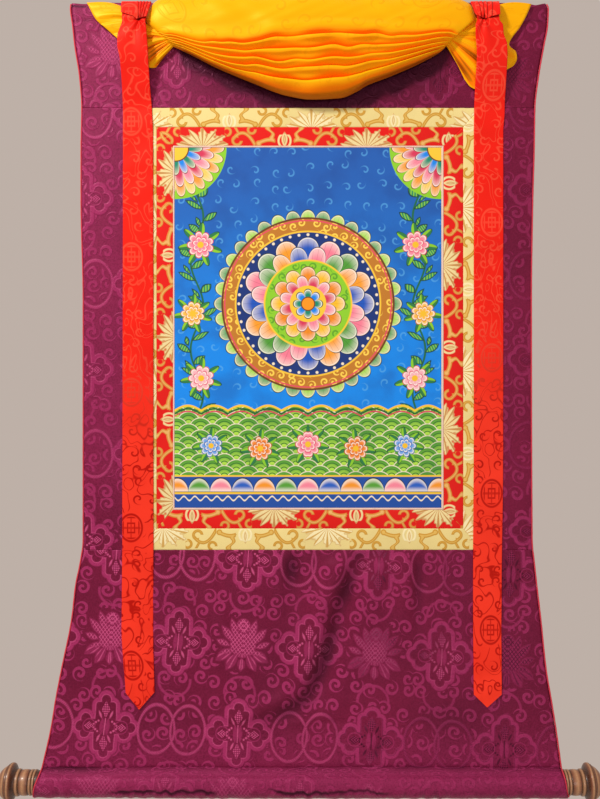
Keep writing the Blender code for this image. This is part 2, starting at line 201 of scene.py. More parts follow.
# Knob: distance outward from the casing's end, radius
KNOB_PROFILE = [
    (0.0, 15.6), (0.4, 15.9), (7.2, 15.9), (7.5, 16.4), (8.2, 17.0), (9.5, 17.25), (10.8, 17.0),
    (11.5, 16.4), (11.8, 15.8), (12.2, 16.4), (12.9, 17.0), (14.1, 17.25), (15.4, 17.0), (16.0, 16.4),
    (16.3, 15.7), (16.9, 15.9), (17.3, 16.5), (19.5, 17.0), (23.0, 17.3), (26.5, 17.0), (28.7, 16.5),
    (29.1, 15.8), (29.7, 15.7), (30.1, 16.6), (30.8, 17.7), (32.6, 18.2), (34.4, 17.9), (35.2, 17.5),
    (36.2, 17.8), (37.4, 19.3), (38.6, 21.8), (39.6, 24.1), (40.4, 25.3), (41.4, 25.9), (43.2, 26.0),
    (44.4, 25.7), (44.9, 24.8), (45.3, 24.3), (46.6, 24.2), (47.1, 23.7), (47.6, 22.6), (49.2, 22.0),
    (51.0, 21.0), (53.0, 19.5), (54.8, 17.9), (56.6, 15.9), (58.2, 13.7), (59.6, 11.3), (60.7, 8.9),
    (61.3, 6.7), (61.8, 6.0), (62.8, 6.0), (64.2, 5.6), (65.4, 4.8), (66.4, 3.4), (67.0, 1.8),
]

# Length that the ramp of the knob's tones covers
KNOB_RAMP = 70.0

# Rod, with a tenon at each end that the knobs fit over
ROD_DROP = ROLL_DROP + 0.9
ROD_CENTRE_X = -11.4
ROD_RADIUS = 17.0
ROD_HALF = 360.3
TENON_RADIUS = 9.0
TENON_LONG = 18
GAP = 0.3

# Rows close to a cloth's edge, where it rolls back: distances from the edge, for wide and narrow cloths
EDGE_ROWS = (0, 0.3, 0.7, 1.2, 1.9, 3.0)
RIBBON_EDGE_ROWS = (0, 0.25, 0.6, 1.1, 1.7)
WELT_ROWS = (0, 0.15, 0.35, 0.6, 0.85)

# How finely the pieces are divided
TOP_COLUMNS = 190
BOTTOM_COLUMNS = 260
CASING_STEPS = 64
CORD_STEPS = 40
CORD_SIDES = 10
FAN_COLUMNS = 30
SWAG_COLUMNS = 150
COVER_ROWS = 200
KNOB_STEPS = 72

# Damask: its repeat and where one medallion lies, in units of PIXEL, and how far it leans in the lower panel
DAMASK_REPEAT = (132.0, 171.0)
MEDALLION_AT = (37.1, 647.7)
WEAVE_LEAN_DEG = 3.2
TOP_WEAVE_SHIFT = (39.6, 106.7)
LEFT_MEDALLION = (-324.4, 280.0)
RIGHT_MEDALLION = (333.0, 267.0)

# Brocade: its repeat and how far it is shifted along each strip, in units of PIXEL
BROCADE_REPEAT = 165.0
GOLD_SHIFTS = {"top": -2.0, "bottom": -18.0, "left": -60.0, "right": -43.0}
RED_SHIFTS = {"top": -57.0, "bottom": 36.0, "left": -9.5, "right": 63.0}

# Painting: drops below its middle where its upper and middle parts end
PAINT_SPLITS = (-176, 105)

# Stage, in metres
FLOOR_HEIGHT = -2.35
FLOOR_HALF = 2.2
SKY_TONE = (0.97, 0.82, 0.73, 1)
SKY_STRENGTH = 0.53
CAMERA_PLACE = (-0.0114, -1.235, -0.565)
CAMERA_LENS = 38.94
CAMERA_SENSOR = 36

# Lamps: name, place, target, size, power and tone
LAMPS = [
    ("key light", (-1.4, -1.5, 1.15), (0, 0, -0.5), 0.35, 51, (1.0, 0.97, 0.93)),
    ("fill light", (0.4, -2.5, -0.5), (0, 0, -0.9), 1.0, 10, (1.0, 0.98, 0.96)),
]


def linear(code):
    """A colour in the renderer's own scale from the usual six-figure code."""
    parts = [int(code[start : start + 2], 16) / 255 for start in (0, 2, 4)]
    return tuple(part / 12.92 if part <= 0.04045 else ((part + 0.055) / 1.055) ** 2.4 for part in parts)


# Paints of the canvas
PINK, ROSE, CREAM, WHITE = (linear(code) for code in ("f58aa2", "d9395f", "f6ead0", "fbf7ee"))
GOLD, BROWN, INK, LIME = (linear(code) for code in ("f8cc3c", "6b3a24", "14202e", "9bdc3a"))
JADE, SKY, LEAF = (linear(code) for code in ("0c8f74", "0a8cf5", "8fd22f"))


def size_property(name, description, default):
    """A length of the panel, in metres."""
    return FloatProperty(name=name, description=description, default=default, unit="LENGTH", min=0, precision=5)


def colour_property(name, description, code):
    """A colour of the panel."""
    return FloatVectorProperty(
        name=name, description=description, default=linear(code), subtype="COLOR", size=3, min=0, max=1
    )


class ScrollSizes(bpy.types.PropertyGroup):
    """Sizes that give the cloths their relief"""

    brocade: size_property("Brocade", "Thickness of the brocade and damask", 0.0008)
    canvas: size_property("Canvas", "Thickness of the painted canvas", 0.0009)
    ribbon: size_property("Ribbon", "Thickness of the ribbons", 0.0007)
    silk: size_property("Silk", "Thickness of the cover's silk", 0.0007)
    crown: size_property("Strip crown", "How far a border strip swells between its seams", 0.0007)
    pucker: size_property("Seam pucker", "How deep the puckers along a seam are", 0.00035)
    gather: size_property("Casing gather", "How deep the gathers round the rod are", 0.0011)
    pleat: size_property("Pleat", "Depth of the cover's pleats in the middle of its swag", 0.0066)


class ScrollColours(bpy.types.PropertyGroup):
    """Colours of the cloths, the painting and the wood"""

    plum_ground: colour_property("Plum ground", "Ground of the damask", "701636")
    plum_figure: colour_property("Plum figure", "Woven figures of the damask", "a93268")
    plum_thread: colour_property("Plum thread", "Fine bright lines of the figures", "d2588c")
    rose_piping: colour_property("Rose piping", "Piping down the side edges", "d93a50")
    gold_ground: colour_property("Gold ground", "Ground of the outer border", "efdd96")
    gold_figure: colour_property("Gold figure", "Scrolls of the outer border", "d09a38")
    red_ground: colour_property("Red ground", "Ground of the inner border", "e5181f")
    red_scroll: colour_property("Red border scroll", "Scrolls of the inner border", "dc9c48")
    red_flower: colour_property("Red border flower", "Flowers of the inner border", "f0dfa4")
    cream_piping: colour_property("Cream piping", "Piping round the picture", "f3d3c0")
    ribbon_red: colour_property("Ribbon red", "Ground of the ribbons", "ee2017")
    silk_yellow: colour_property("Silk yellow", "The cover's silk", "fab106")
    # Painted shade of the silk deep in its folds
    silk_fold_shade: colour_property("Silk fold", "The silk deep in its folds", "fb7a02")
    knob_brown: colour_property("Knob brown", "Old polished wood of the knobs", "864e31")
    floor_grey: colour_property("Floor", "The plain floor", "d9d6d0")


def hermite(share, step, before, after, tangent_before, tangent_after):
    """Values a share of the way along smooth spans of this length."""
    start = (1 + 2 * share) * (1 - share) ** 2 * before + share * (1 - share) ** 2 * step * tangent_before
    end = share**2 * (3 - 2 * share) * after + share**2 * (share - 1) * step * tangent_after
    return start + end


def curve(rows, key, index=1):
    """The table's value at key, on a smooth curve through its rows that doesn't overshoot them."""
    table = np.array(rows, float)
    spots, values = table[:, 0], table[:, index]
    steps = np.diff(spots)
    slopes = np.diff(values) / steps
    tangents = np.zeros(len(spots))
    tangents[0], tangents[-1] = slopes[0], slopes[-1]
    for i in range(1, len(spots) - 1):
        if slopes[i - 1] * slopes[i] > 0:
            first, second = 2 * steps[i] + steps[i - 1], steps[i] + 2 * steps[i - 1]
            tangents[i] = (first + second) / (first / slopes[i - 1] + second / slopes[i])
    key = np.clip(np.asarray(key, float), spots[0], spots[-1])
    at = np.clip(np.searchsorted(spots, key, side="right") - 1, 0, len(steps) - 1)
    share = (key - spots[at]) / steps[at]
    return hermite(share, steps[at], values[at], values[at + 1], tangents[at], tangents[at + 1])


def through(knots, spots):
    """Values at spots (0 to the last knot's number) on smooth curves through rows of knots."""
    slopes = np.diff(knots, axis=0)
    tangents = np.zeros_like(knots)
    tangents[0], tangents[-1] = slopes[0], slopes[-1]
    product = slopes[:-1] * slopes[1:]
    total = slopes[:-1] + slopes[1:]
    tangents[1:-1] = np.where(product > 0, 2 * product / np.where(np.abs(total) < 1e-9, 1, total), 0)
    at = np.clip(np.floor(spots).astype(int), 0, len(knots) - 2)
    return hermite((spots - at)[:, None], 1, knots[at], knots[at + 1], tangents[at], tangents[at + 1])


def ease(share):
    """A rise from 0 to 1 with a soft start and end."""
    share = np.clip(share, 0.0, 1.0)
    return share * share * (3 - 2 * share)


def bump_at(offset, half_width):
    """1 at offset 0, falling softly to nothing beyond half_width."""
    return np.exp(-((offset / half_width) ** 2))


def fall(distance, radius=1.3):
    """How far an edge rolls back at this distance from it."""
    inside = np.clip(radius - distance, 0, radius)
    return radius - np.sqrt(np.clip(radius * radius - inside * inside, 0, None))


def uneven(position, length, start=0.0):
    """An irregular wave from -1 to 1 with about this length."""
    turn = 2 * math.pi / length
    wander = 1.6 * np.sin(turn * position / 4.3 + 2.1 + start) + 0.9 * np.sin(turn * position / 2.7 + 3 * start)
    swell = 0.65 + 0.35 * np.sin(turn * position / 5.9 + 1.3 * start)
    return np.sin(turn * position + wander + start) * swell


def spaced(start, end, step, close=EDGE_ROWS):
    """Positions from start to end, closer together near both ends where the cloth rolls back."""
    near = np.array(close)
    count = max(2, round((end - start - 2 * near[-1]) / step))
    middle = np.linspace(start + near[-1], end - near[-1], count + 1)[1:-1]
    return np.concatenate([start + near, middle, (end - near)[::-1]])


def column(*runs):
    """One column of values from several runs of them."""
    return np.concatenate(runs)[:, None]


def cloth_depth(x, drop):
    """Depth of the middle of the flat cloths in front of the wall."""
    depth = curve(HANG, drop)
    down = np.clip((drop - TROUGH_START) / (TROUGH_END - TROUGH_START), 0, 1)
    strength = ease((drop - TROUGH_START) / (TROUGH_FULL - TROUGH_START))
    for x_top, x_bottom, half_width, lost in TROUGHS:
        off = (x - x_top - (x_bottom - x_top) * down) / half_width
        depth = depth - lost * strength * np.exp(-off * off)
    return depth


def point(x, drop, depth):
    """A place in metres from one in millimetres."""
    return Vector((x, -depth, -drop)) * MM


def sizes():
    """The panel's sizes."""
    return bpy.context.scene.scroll_sizes


def palette(key):
    """One of the panel's colours."""
    return tuple(getattr(bpy.context.scene.scroll_colours, key))


def dimmed(colour, share):
    """The colour with only this share of its light."""
    return tuple(part * share for part in colour)


def add_mesh(name, mesh_data, look):
    """An object from a finished bmesh, with its finish."""
    mesh = bpy.data.meshes.new(name)
    mesh_data.to_mesh(mesh)
    mesh_data.free()
    mesh.materials.append(look)
    made = bpy.data.objects.new(name, mesh)
    bpy.context.scene.collection.objects.link(made)
    return made


def add_piece(name, mesh_data, look, replaced, sharp_deg=None):
    """A smooth piece with its body and the solids that it stands for, creased where it turns more sharply."""
    for face in mesh_data.faces:
        face.smooth = True
    if sharp_deg is not None:
        for edge in mesh_data.edges:
            edge.smooth = len(edge.link_faces) == 2 and edge.calc_face_angle(0) < math.radians(sharp_deg)
    piece = add_mesh(name, mesh_data, look)
    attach(piece, "root")
    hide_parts(*replaced)
    return piece


def grid_mesh(columns, rows, place, on_cloth, shade=None):
    """A grid of faces. place and on_cloth give each point's position and its place on the cloth, in metres, from
    its column and row, and shade is an array of the shade painted at each point, kept in its fold attribute."""
    mesh_data = bmesh.new()
    bmesh.ops.create_grid(mesh_data, x_segments=columns, y_segments=rows, size=0.5)
    layer = mesh_data.loops.layers.uv.new("cloth")
    # Painted shade, kept per point in the fold attribute
    deep = mesh_data.verts.layers.float.new("fold") if shade is not None else None
    spot = {}
    for vert in mesh_data.verts:
        i, j = round((vert.co.x + 0.5) * columns), round((vert.co.y + 0.5) * rows)
        spot[vert] = (i, j)
        vert.co = place(i, j)
        if deep is not None:
            vert[deep] = shade[j, i]
    for face in mesh_data.faces:
        for loop in face.loops:
            loop[layer].uv = on_cloth(*spot[loop.vert])
    return mesh_data


def cloth(name, grid, pattern, thick, look, replaced, shade=None, back=None):
    """A sheet through a grid of middle points. grid is x, drop and depth, and pattern the two positions on the
    cloth, all arrays of rows by columns in millimetres. shade is the shade painted at each point, 0 to 1, and
    back the finish of the sheet's far side, where that differs."""
    x, drop, depth = np.broadcast_arrays(*grid)
    along, down = np.broadcast_arrays(*pattern)
    mesh_data = grid_mesh(
        x.shape[1] - 1, x.shape[0] - 1, lambda i, j: (x[j, i] * MM, -depth[j, i] * MM, -drop[j, i] * MM),
        lambda i, j: (along[j, i] * MM, down[j, i] * MM), shade,
    )
    bmesh.ops.reverse_faces(mesh_data, faces=mesh_data.faces)
    piece = add_piece(name, mesh_data, look, replaced)
    solidify = piece.modifiers.new("cloth thickness", "SOLIDIFY")
    solidify.thickness = thick
    solidify.offset = 0
    if back is not None:
        piece.data.materials.append(back)
        solidify.material_offset = 1
    return piece


def path_length(drop, depth):
    """Length along each column from its first row."""
    steps = np.hypot(np.diff(drop, axis=0), np.diff(depth, axis=0))
    return np.vstack([np.zeros((1, drop.shape[1])), np.cumsum(steps, axis=0)])


def adds(operation, swapped=False):
    """An operator that adds a Math node, with its own number last where swapped."""

    def operator(self, *others):
        """The new node's value."""
        return self.finish.math(operation, *((*others, self) if swapped else (self, *others)))

    return operator


class Value:
    """A number in a finish. Python's operators on it add Math nodes."""

    __add__, __radd__ = adds("ADD"), adds("ADD", True)
    __sub__, __rsub__ = adds("SUBTRACT"), adds("SUBTRACT", True)
    __mul__, __rmul__ = adds("MULTIPLY"), adds("MULTIPLY", True)
    __truediv__, __mod__, __abs__ = adds("DIVIDE"), adds("FLOORED_MODULO"), adds("ABSOLUTE")

    def __init__(self, finish, socket):
        self.finish, self.socket = finish, socket


class Finish:
    """A material being made, with the small set of shapes that its pattern is drawn from."""

    def __init__(self, name, **fixed):
        self.material = bpy.data.materials.new(name)
        self.material.use_nodes = True
        self.tree = self.material.node_tree
        self.shader = self.tree.nodes["Principled BSDF"]
        for key, value in fixed.items():
            value = (*value, 1) if isinstance(value, tuple) else value
            self.shader.inputs[key.replace("_", " ")].default_value = value

    def node(self, kind, settings=None, sockets=None, output=0):
        """A node of this type. Its settings are set first, then its sockets, each a value or a link."""
        made = self.tree.nodes.new("ShaderNode" + kind)
        for key, value in (settings or {}).items():
            if key == "stops":
                elements = made.color_ramp.elements
                elements.remove(elements[1])
                elements[0].position, elements[0].color = value[0][0], (*value[0][1], 1)
                for place, colour in value[1:]:
                    elements.new(place).color = (*colour, 1)
            elif key == "interpolation":
                made.color_ramp.interpolation = value
            else:
                setattr(made, key, value)
        for key, value in (sockets or {}).items():
            if isinstance(value, Value):
                self.tree.links.new(value.socket, made.inputs[key])
            else:
                made.inputs[key].default_value = value
        return Value(self, made.outputs[output])

    def math(self, operation, *values):
        """A Math node."""
        return self.node("Math", {"operation": operation}, dict(enumerate(values)))

    def feed(self, **sockets):
        """Links values to the shader's own sockets."""
        for key, value in sockets.items():
            self.tree.links.new(value.socket, self.shader.inputs[key.replace("_", " ")])

    def least(self, *values):
        """The least of several values."""
        return reduce(lambda found, value: self.math("MINIMUM", found, value), values)

    def most(self, *values):
        """The greatest of several values."""
        return reduce(lambda found, value: self.math("MAXIMUM", found, value), values)

    def mix(self, share, first, second):
        """A colour between two, each a colour or a link."""

        def ready(colour):
            """The colour as a socket takes it."""
            return colour if isinstance(colour, Value) else (*colour, 1)

        sockets = {0: share, 6: ready(first), 7: ready(second)}
        return self.node("Mix", {"data_type": "RGBA"}, sockets, 2)

    def blend(self, share, first, second):
        """A number between two."""
        return first + (second - first) * share

    def step(self, value, low, high):
        """0 below low and 1 above high, or the reverse where low is the greater, with a soft change."""
        sockets = {0: value, 1: low, 2: high, 3: 0.0, 4: 1.0}
        return self.node("MapRange", {"interpolation_type": "SMOOTHSTEP"}, sockets)

    def inside(self, distance, soft=0.5):
        """1 where a shape's distance is below 0."""
        return self.step(distance, soft, -soft)

    def line(self, distance, half_width, soft=0.5):
        """1 along the place where the distance is 0."""
        return self.step(abs(distance), half_width + soft, half_width - soft)

    def fill(self, colour, distance, tone, soft=0.5):
        """The colour with a shape filled in over it."""
        return self.mix(self.inside(distance, soft), colour, tone)

    def trace(self, colour, distance, half_width, tone, soft=0.5):
        """The colour with a line drawn over it."""
        return self.mix(self.line(distance, half_width, soft), colour, tone)

    def choose(self, number, tones):
        """One of several colours, in turn, by a whole number."""
        count = float(len(tones))
        stops = [(i / count, tone) for i, tone in enumerate(tones)]
        place = (number % count) / count + 0.02
        return self.node("ValToRGB", {"interpolation": "CONSTANT", "stops": stops}, {0: place})

    def length(self, x, y):
        """How far a place is from the origin."""
        return self.math("SQRT", x * x + y * y)

    def angle(self, x, y):
        """Which way a place lies from the origin."""
        return self.math("ARCTAN2", y, x)

    def sine(self, value):
        """The value's sine."""
        return self.math("SINE", value)

    def wrap(self, value, period):
        """value less the nearest whole number of periods."""
        return value - self.math("ROUND", value / period) * period

    def disc(self, x, y, centre_x, centre_y, radius):
        """Distance from a disc."""
        return self.length(x - centre_x, y - centre_y) - radius

    def oval(self, x, y, wide, tall):
        """Distance from an ellipse of these half sizes, near its edge."""
        return (self.length(x / wide, y / tall) - 1) * min(wide, tall)

    def leaf(self, x, y, centre_x, centre_y, turn_deg, long, wide):
        """Distance from a pointed leaf whose long axis is turned from x."""
        turn = math.radians(turn_deg)
        away_x, away_y = x - centre_x, y - centre_y
        along = away_x * math.cos(turn) + away_y * math.sin(turn)
        across = away_y * math.cos(turn) - away_x * math.sin(turn)
        share = along / long
        return (abs(across) / wide + share * share - 1) * (wide * 0.7)

    def leaves(self, x, y, rows):
        """Distance from the nearest of several leaves. Each is its middle, turn, length and width."""
        return self.least(*(self.leaf(x, y, *row) for row in rows))

    def curls(self, x, y, size, reach=0.47, thick=0.17, seed=0.0):
        """A spiral curl in each cell of an uneven lattice."""
        spot = self.vector(x / size + seed, y / size)
        sockets = {"Vector": spot, "Scale": 1.0, "Randomness": 0.55}
        middle = self.node("TexVoronoi", {"voronoi_dimensions": "2D"}, sockets, "Position")
        x, y, _ = self.parts(self.node("VectorMath", {"operation": "SUBTRACT"}, {0: spot, 1: middle}))
        radius = self.length(x, y)
        start = self.node("SeparateColor", None, {0: Value(self, middle.socket.node.outputs["Color"])})
        winding = abs(self.wrap(radius / 0.36 + (self.angle(x, y) / (2 * math.pi) + start), 1.0))
        return self.step(winding, thick + 0.07, thick) * self.step(radius, reach, reach - 0.08)

    def noise(self, scale, detail, x, y, z=0.0, rough=0.5, distort=0.0):
        """Cloudy noise about 0.5."""
        sockets = {"Scale": scale, "Detail": detail, "Roughness": rough, "Distortion": distort}
        sockets["Vector"] = self.vector(x, y, z)
        return self.node("TexNoise", {"noise_dimensions": "3D"}, sockets)

    def parts(self, vector):
        """x, y and z of a vector."""
        split = self.node("SeparateXYZ", None, {0: vector}).socket.node
        return [Value(self, socket) for socket in split.outputs]

    def on_cloth(self, unit=MM):
        """The two positions on the cloth, in this unit."""
        x, y, _ = self.parts(self.node("UVMap", {"uv_map": "cloth"}))
        return x / unit, y / unit

    def in_space(self, unit=MM):
        """Object coordinates x, y and z in this unit."""
        return tuple(part / unit for part in self.parts(self.node("TexCoord", output="Object")))

    def fold(self):
        """The shade painted at each place, read from the fold attribute, 0 to 1."""
        return self.node("Attribute", {"attribute_name": "fold"}, output=2)

    def vector(self, x, y, z=0.0):
        """A vector from its parts."""
        return self.node("CombineXYZ", None, {0: x, 1: y, 2: z})

    def weave(self, x, y, pitch=0.75):
        """Height of a plain weave with threads this far apart in millimetres, 0 to 1."""
        turn = 2 * math.pi / pitch
        return self.sine(x * turn) * self.sine(y * turn) * 0.5 + 0.5

    def raise_by(self, height, distance):
        """Bump from a height of 0 to 1 that stands for this many metres."""
        self.feed(Normal=self.node("Bump", None, {"Height": height, "Distance": distance, "Strength": 1.0}))


def soft_folds(x, drop):
    """Relief of the soft folds in the lower panel about its hanging depth, and the shade painted in them, 0 to 1.
    """
    path = curve(FOLD_PATH, drop)
    slope = (curve(FOLD_PATH, drop + 2) - curve(FOLD_PATH, drop - 2)) / 4
    off = (x - path) / np.sqrt(1 + slope * slope)
    strength = ease((drop - 781) / 22) * ease((1040 - drop) / 60)
    relief = 6.0 * bump_at(off + 24, 18) - 3.0 * np.where(off < 0, bump_at(off, 9), bump_at(off, 14))
    relief = relief + 3.4 * bump_at(off - 33, 18)
    relief = relief * strength

    # A short fold below the seam with a swell beside it, a fold on the right, and one above the casing
    early = ease((drop - 781) / 14)
    relief = relief - 3.0 * early * bump_at(x + 23, 10) * bump_at(drop - 806, 26)
    relief = relief + 3.0 * early * bump_at(x + 46, 16) * bump_at(drop - 820, 50)
    third = x - 157 + 0.02 * (drop - 790)
    relief = relief + early * ease((930 - drop) / 110) * (3.6 * bump_at(third + 20, 13) - 2.4 * bump_at(third, 8))
    lower = x - 96 - 0.5 * (1058 - drop)
    relief = relief - 2.0 * bump_at(lower, 9) * bump_at(drop - 1054, 20)
    # Painted shade along the deep fold and the short folds, with soft dark patches and the right side a little
    # darker
    swell = 0.75 + 0.25 * uneven(drop, 120, 0.9)
    shade = 0.72 * ease((drop - 776) / 10) * ease((1045 - drop) / 50) * swell
    shade = shade * np.where(off < 0, bump_at(off, 17), bump_at(off, 12))
    shade = shade + 0.6 * bump_at(x + 23, 13) * bump_at(drop - 806, 24)
    shade = shade + 0.42 * bump_at(third - 1, 9) * ease((drop - 776) / 30) * ease((960 - drop) / 150)
    shade = shade + 0.4 * bump_at(lower, 9) * bump_at(drop - 1054, 18)
    shade = shade + 0.2 * bump_at((x + 35) / 55, 1) * bump_at((drop - 880) / 130, 1)
    shade = shade + 0.25 * bump_at((x - 190) / 60, 1) * bump_at((drop - 1010) / 30, 1)
    return relief, np.clip(shade + 0.12 * ease((x - 60) / 160), 0, 1)


def damask_medallion(finish, x, y):
    """A cusped quatrefoil round a cross of buds, from folded positions x and y of 0 and more: its soft tone,
    its fine lines and the distance from its outline."""
    lobes = finish.least(
        finish.length(finish.most(x - 7.3, 0.0), finish.most(y - 20.5, 0.0)) - 5.0,
        finish.disc(x, y, 0.0, 25.0, 7.0),
        finish.disc(x, y, 19.8, 6.8, 7.2),
        finish.disc(x, y, 25.3, 0.0, 7.2),
        finish.most(x - 24.0, y - 9.0),
    )
    spear = x / 4.8 + abs(y - 16.5) / 8.5
    bud = y / 4.4 + abs(x - 16.2) / 5.6
    in_spear, in_bud = finish.step(spear, 1.0, 0.88), finish.step(bud, 1.0, 0.88)
    lattice = finish.step(finish.sine((x + y) * 1.5) * finish.sine((x - y) * 1.5), -0.05, 0.3)
    chevrons = finish.step(finish.sine((x + y * 1.3) * 2.2), 0.0, 0.5)
    hearts = finish.leaf(x, y, 2.7, 0.0, 90, 9.0, 2.2)
    guards = finish.leaf(x, y, 5.4, 11.8, 65, 4.0, 1.0)
    beads = finish.least(
        finish.disc(x, y, 8.9, 3.7, 1.1), finish.disc(x, y, 6.6, 5.4, 1.0), finish.disc(x, y, 11.2, 1.7, 0.9)
    )
    calyx = finish.line(finish.disc(x, y, 16.0, 0.0, 6.5), 0.6, 0.4)
    tone = finish.most(
        finish.line(lobes + 0.2, 2.1, 0.9) * 0.95,
        in_spear * 0.4,
        in_bud * 0.4,
        finish.inside(hearts) * 0.6,
        calyx * 0.6,
    )
    lines = finish.most(
        in_spear * lattice,
        in_bud * chevrons,
        finish.inside(guards),
        finish.inside(beads),
        finish.line(x, 0.5) * finish.step(y, 9.0, 8.0),
        finish.line(lobes + 1.7, 0.35, 0.4) * 0.6,
    )
    return tone, lines, lobes


def damask_spray(finish, x, y):
    """A lotus spray drawn in fine crossed lines. y is positive downwards, and x is folded to 0 and more."""
    rows = (
        (8.5, -14.0, -70, 12.0, 4.2), (14.5, -9.0, -48, 12.0, 4.2), (19.5, -1.0, -22, 8.0, 3.4),
        (17.5, 10.5, 34, 11.0, 5.0), (10.0, 17.0, 58, 10.0, 4.8), (0.0, 19.5, 90, 7.0, 4.0),
    )
    discs = (finish.disc(x, y, 0.0, -18.5, 7.0), finish.disc(x, y, 0.0, 0.0, 13.0))
    shape = finish.least(*discs, finish.leaves(x, y, rows))
    body = finish.inside(shape, 0.8)
    rays = finish.angle(abs(y - 6.0) + 6.0, x)
    lower = finish.step(y, 7.0, 11.0)
    veins = finish.step(finish.sine(rays * 30.0), 0.3, 0.8) * lower
    cross = finish.most(finish.sine((x * 1.3 + y) * 1.35), finish.sine((x * 1.3 - y) * 1.35))
    cross = finish.step(cross, 0.55, 0.9)
    heart = finish.line(finish.disc(x, y, 0.0, -18.5, 3.6), 0.5)
    lines = finish.most(veins * 0.7, cross * (1 - lower), heart) * finish.inside(shape + 0.8)
    return body * 0.5, lines, shape


def damask_figure(finish):
    """Soft tone and fine lines of the figures, each 0 to 1, over the whole ground cloth."""
    along, down = finish.on_cloth(MM * PIXEL)
    turn = math.radians(WEAVE_LEAN_DEG)
    wander = (finish.noise(0.02, 1.0, along, down) - 0.5) * 5.0
    across = along * math.cos(turn) + down * math.sin(turn) + wander
    run = down * math.cos(turn) - along * math.sin(turn) + wander
    period_x, period_y = DAMASK_REPEAT
    near_x = finish.wrap(across - MEDALLION_AT[0], period_x)
    near_y = finish.wrap(run - MEDALLION_AT[1], period_y)
    fold_x, fold_y = abs(near_x), abs(near_y)
    other = finish.step(fold_x / (period_x / 2) + fold_y / (period_y / 2), 0.999, 1.001)
    medal_x = finish.blend(other, fold_x, period_x / 2 - fold_x)
    medal_y = finish.blend(other, fold_y, period_y / 2 - fold_y)
    medallion, medal_lines, medal_edge = damask_medallion(finish, medal_x, medal_y)
    spray, spray_lines, spray_edge = damask_spray(finish, period_x / 2 - fold_x, near_y)
    ring_y = finish.wrap(run - MEDALLION_AT[1] - period_y / 2, period_y)
    ring, twin = (finish.oval(fold_x + aside, ring_y, 17.5, 23.5) for aside in (-15.5, 15.5))
    twist = 0.6 + 0.4 * finish.sine((fold_x + ring_y) * 2.6)
    rope = finish.most(finish.line(ring, 1.1, 0.7), finish.line(twin, 1.1, 0.7))
    small = finish.curls(across, run, 17.0, thick=0.23, seed=0.37)
    free = finish.step(finish.least(medal_edge, spray_edge, abs(ring) - 1.0), 2.0, 3.6)
    arc = finish.line(finish.disc(medal_x, medal_y, 0.0, 38.5, 15.0), 1.3, 0.7)
    arc = arc * finish.step(medal_y, 35.0, 37.0)
    tone = finish.most(medallion, spray, rope * 0.75, small * free * 0.85, arc * 0.75)
    return tone, finish.most(medal_lines, spray_lines, rope * twist * 0.5)


def damask(name, with_painted_shade=True):
    """Plum silk damask: satin ground with duller, lighter figures. A painted sheen varies how strongly the figures
    show and turns their fine lines dark in places; the cloth is painted lighter on and above the roll, and shade is
    painted deep in the folds."""
    look = Finish(name, Specular_IOR_Level=0.45, Specular_Tint=(1.0, 0.24, 0.5))
    x, y = look.on_cloth()
    tone, lines = damask_figure(look)
    space_x, _, space_z = look.in_space()
    on_roll = look.step(space_z, -CASING_SEAM, -CASING_SEAM - 5.0)
    # Painted sheen: broad patches, brighter to the left, in which the figures show stronger
    sheen_patches = look.noise(0.008, 2.0, x, y, 4.0)
    painted_sheen = look.step(sheen_patches - space_x * 0.0011, 0.25, 0.62)
    # Painted sheen: the figures show stronger in the lower panel, and the upper ground is lifted where the sheen
    # falls
    lower = look.step(space_z, -620.0, -800.0)
    strength = (0.48 + 0.22 * painted_sheen + 0.3 * lower) * (1 - on_roll * 0.6)
    grain = look.noise(0.55, 2.0, x, y, 8.0)
    cloud = look.noise(9.0, 3.0, x * MM, y * MM, 1.7)
    slub = look.noise(1.0, 2.0, x * 0.35, y * 2.2)
    plum = palette("plum_ground")
    ground = look.mix(look.step(cloud, 0.3, 0.75), dimmed(plum, 0.78), plum)
    # Painted light: the ground is lifted on the roll and just above it
    painted_light_near_roll = look.step(space_z, -1000.0, -1070.0) * 0.22
    lift = on_roll * 0.15 + painted_light_near_roll + (1 - lower) * painted_sheen * 0.22
    ground = look.mix(lift + (grain - 0.5) * 0.5, ground, palette("plum_figure"))
    woven = look.mix(tone * strength * (0.72 + 0.28 * slub), ground, palette("plum_figure"))
    # Painted shade: where the sheen is weak, the fine lines turn dark instead of bright
    painted_dark_lines = look.step(sheen_patches + space_x * 0.0014, 0.52, 0.72)
    thread = look.mix(painted_dark_lines, palette("plum_thread"), linear("32061a"))
    woven = look.mix(lines * (strength * 0.85 + painted_dark_lines * 0.1), woven, thread)
    woven = look.mix(look.step(grain, 0.5, 0.28) * 0.3, woven, linear("3c0a1f"))
    # Painted shade from the fold attribute: in the troughs, along seams and creases and under the swag
    if with_painted_shade:
        woven = look.mix(look.step(look.fold(), 0.0, 1.0) * 0.92, woven, linear("220410"))
    look.feed(Base_Color=woven, Roughness=0.46 - tone * 0.08 + (slub - 0.5) * 0.12)
    look.raise_by(tone * 0.6 + lines * 0.3 + look.weave(x, y, 0.8) * 0.06 + slub * 0.12, 0.0008)
    return look.material


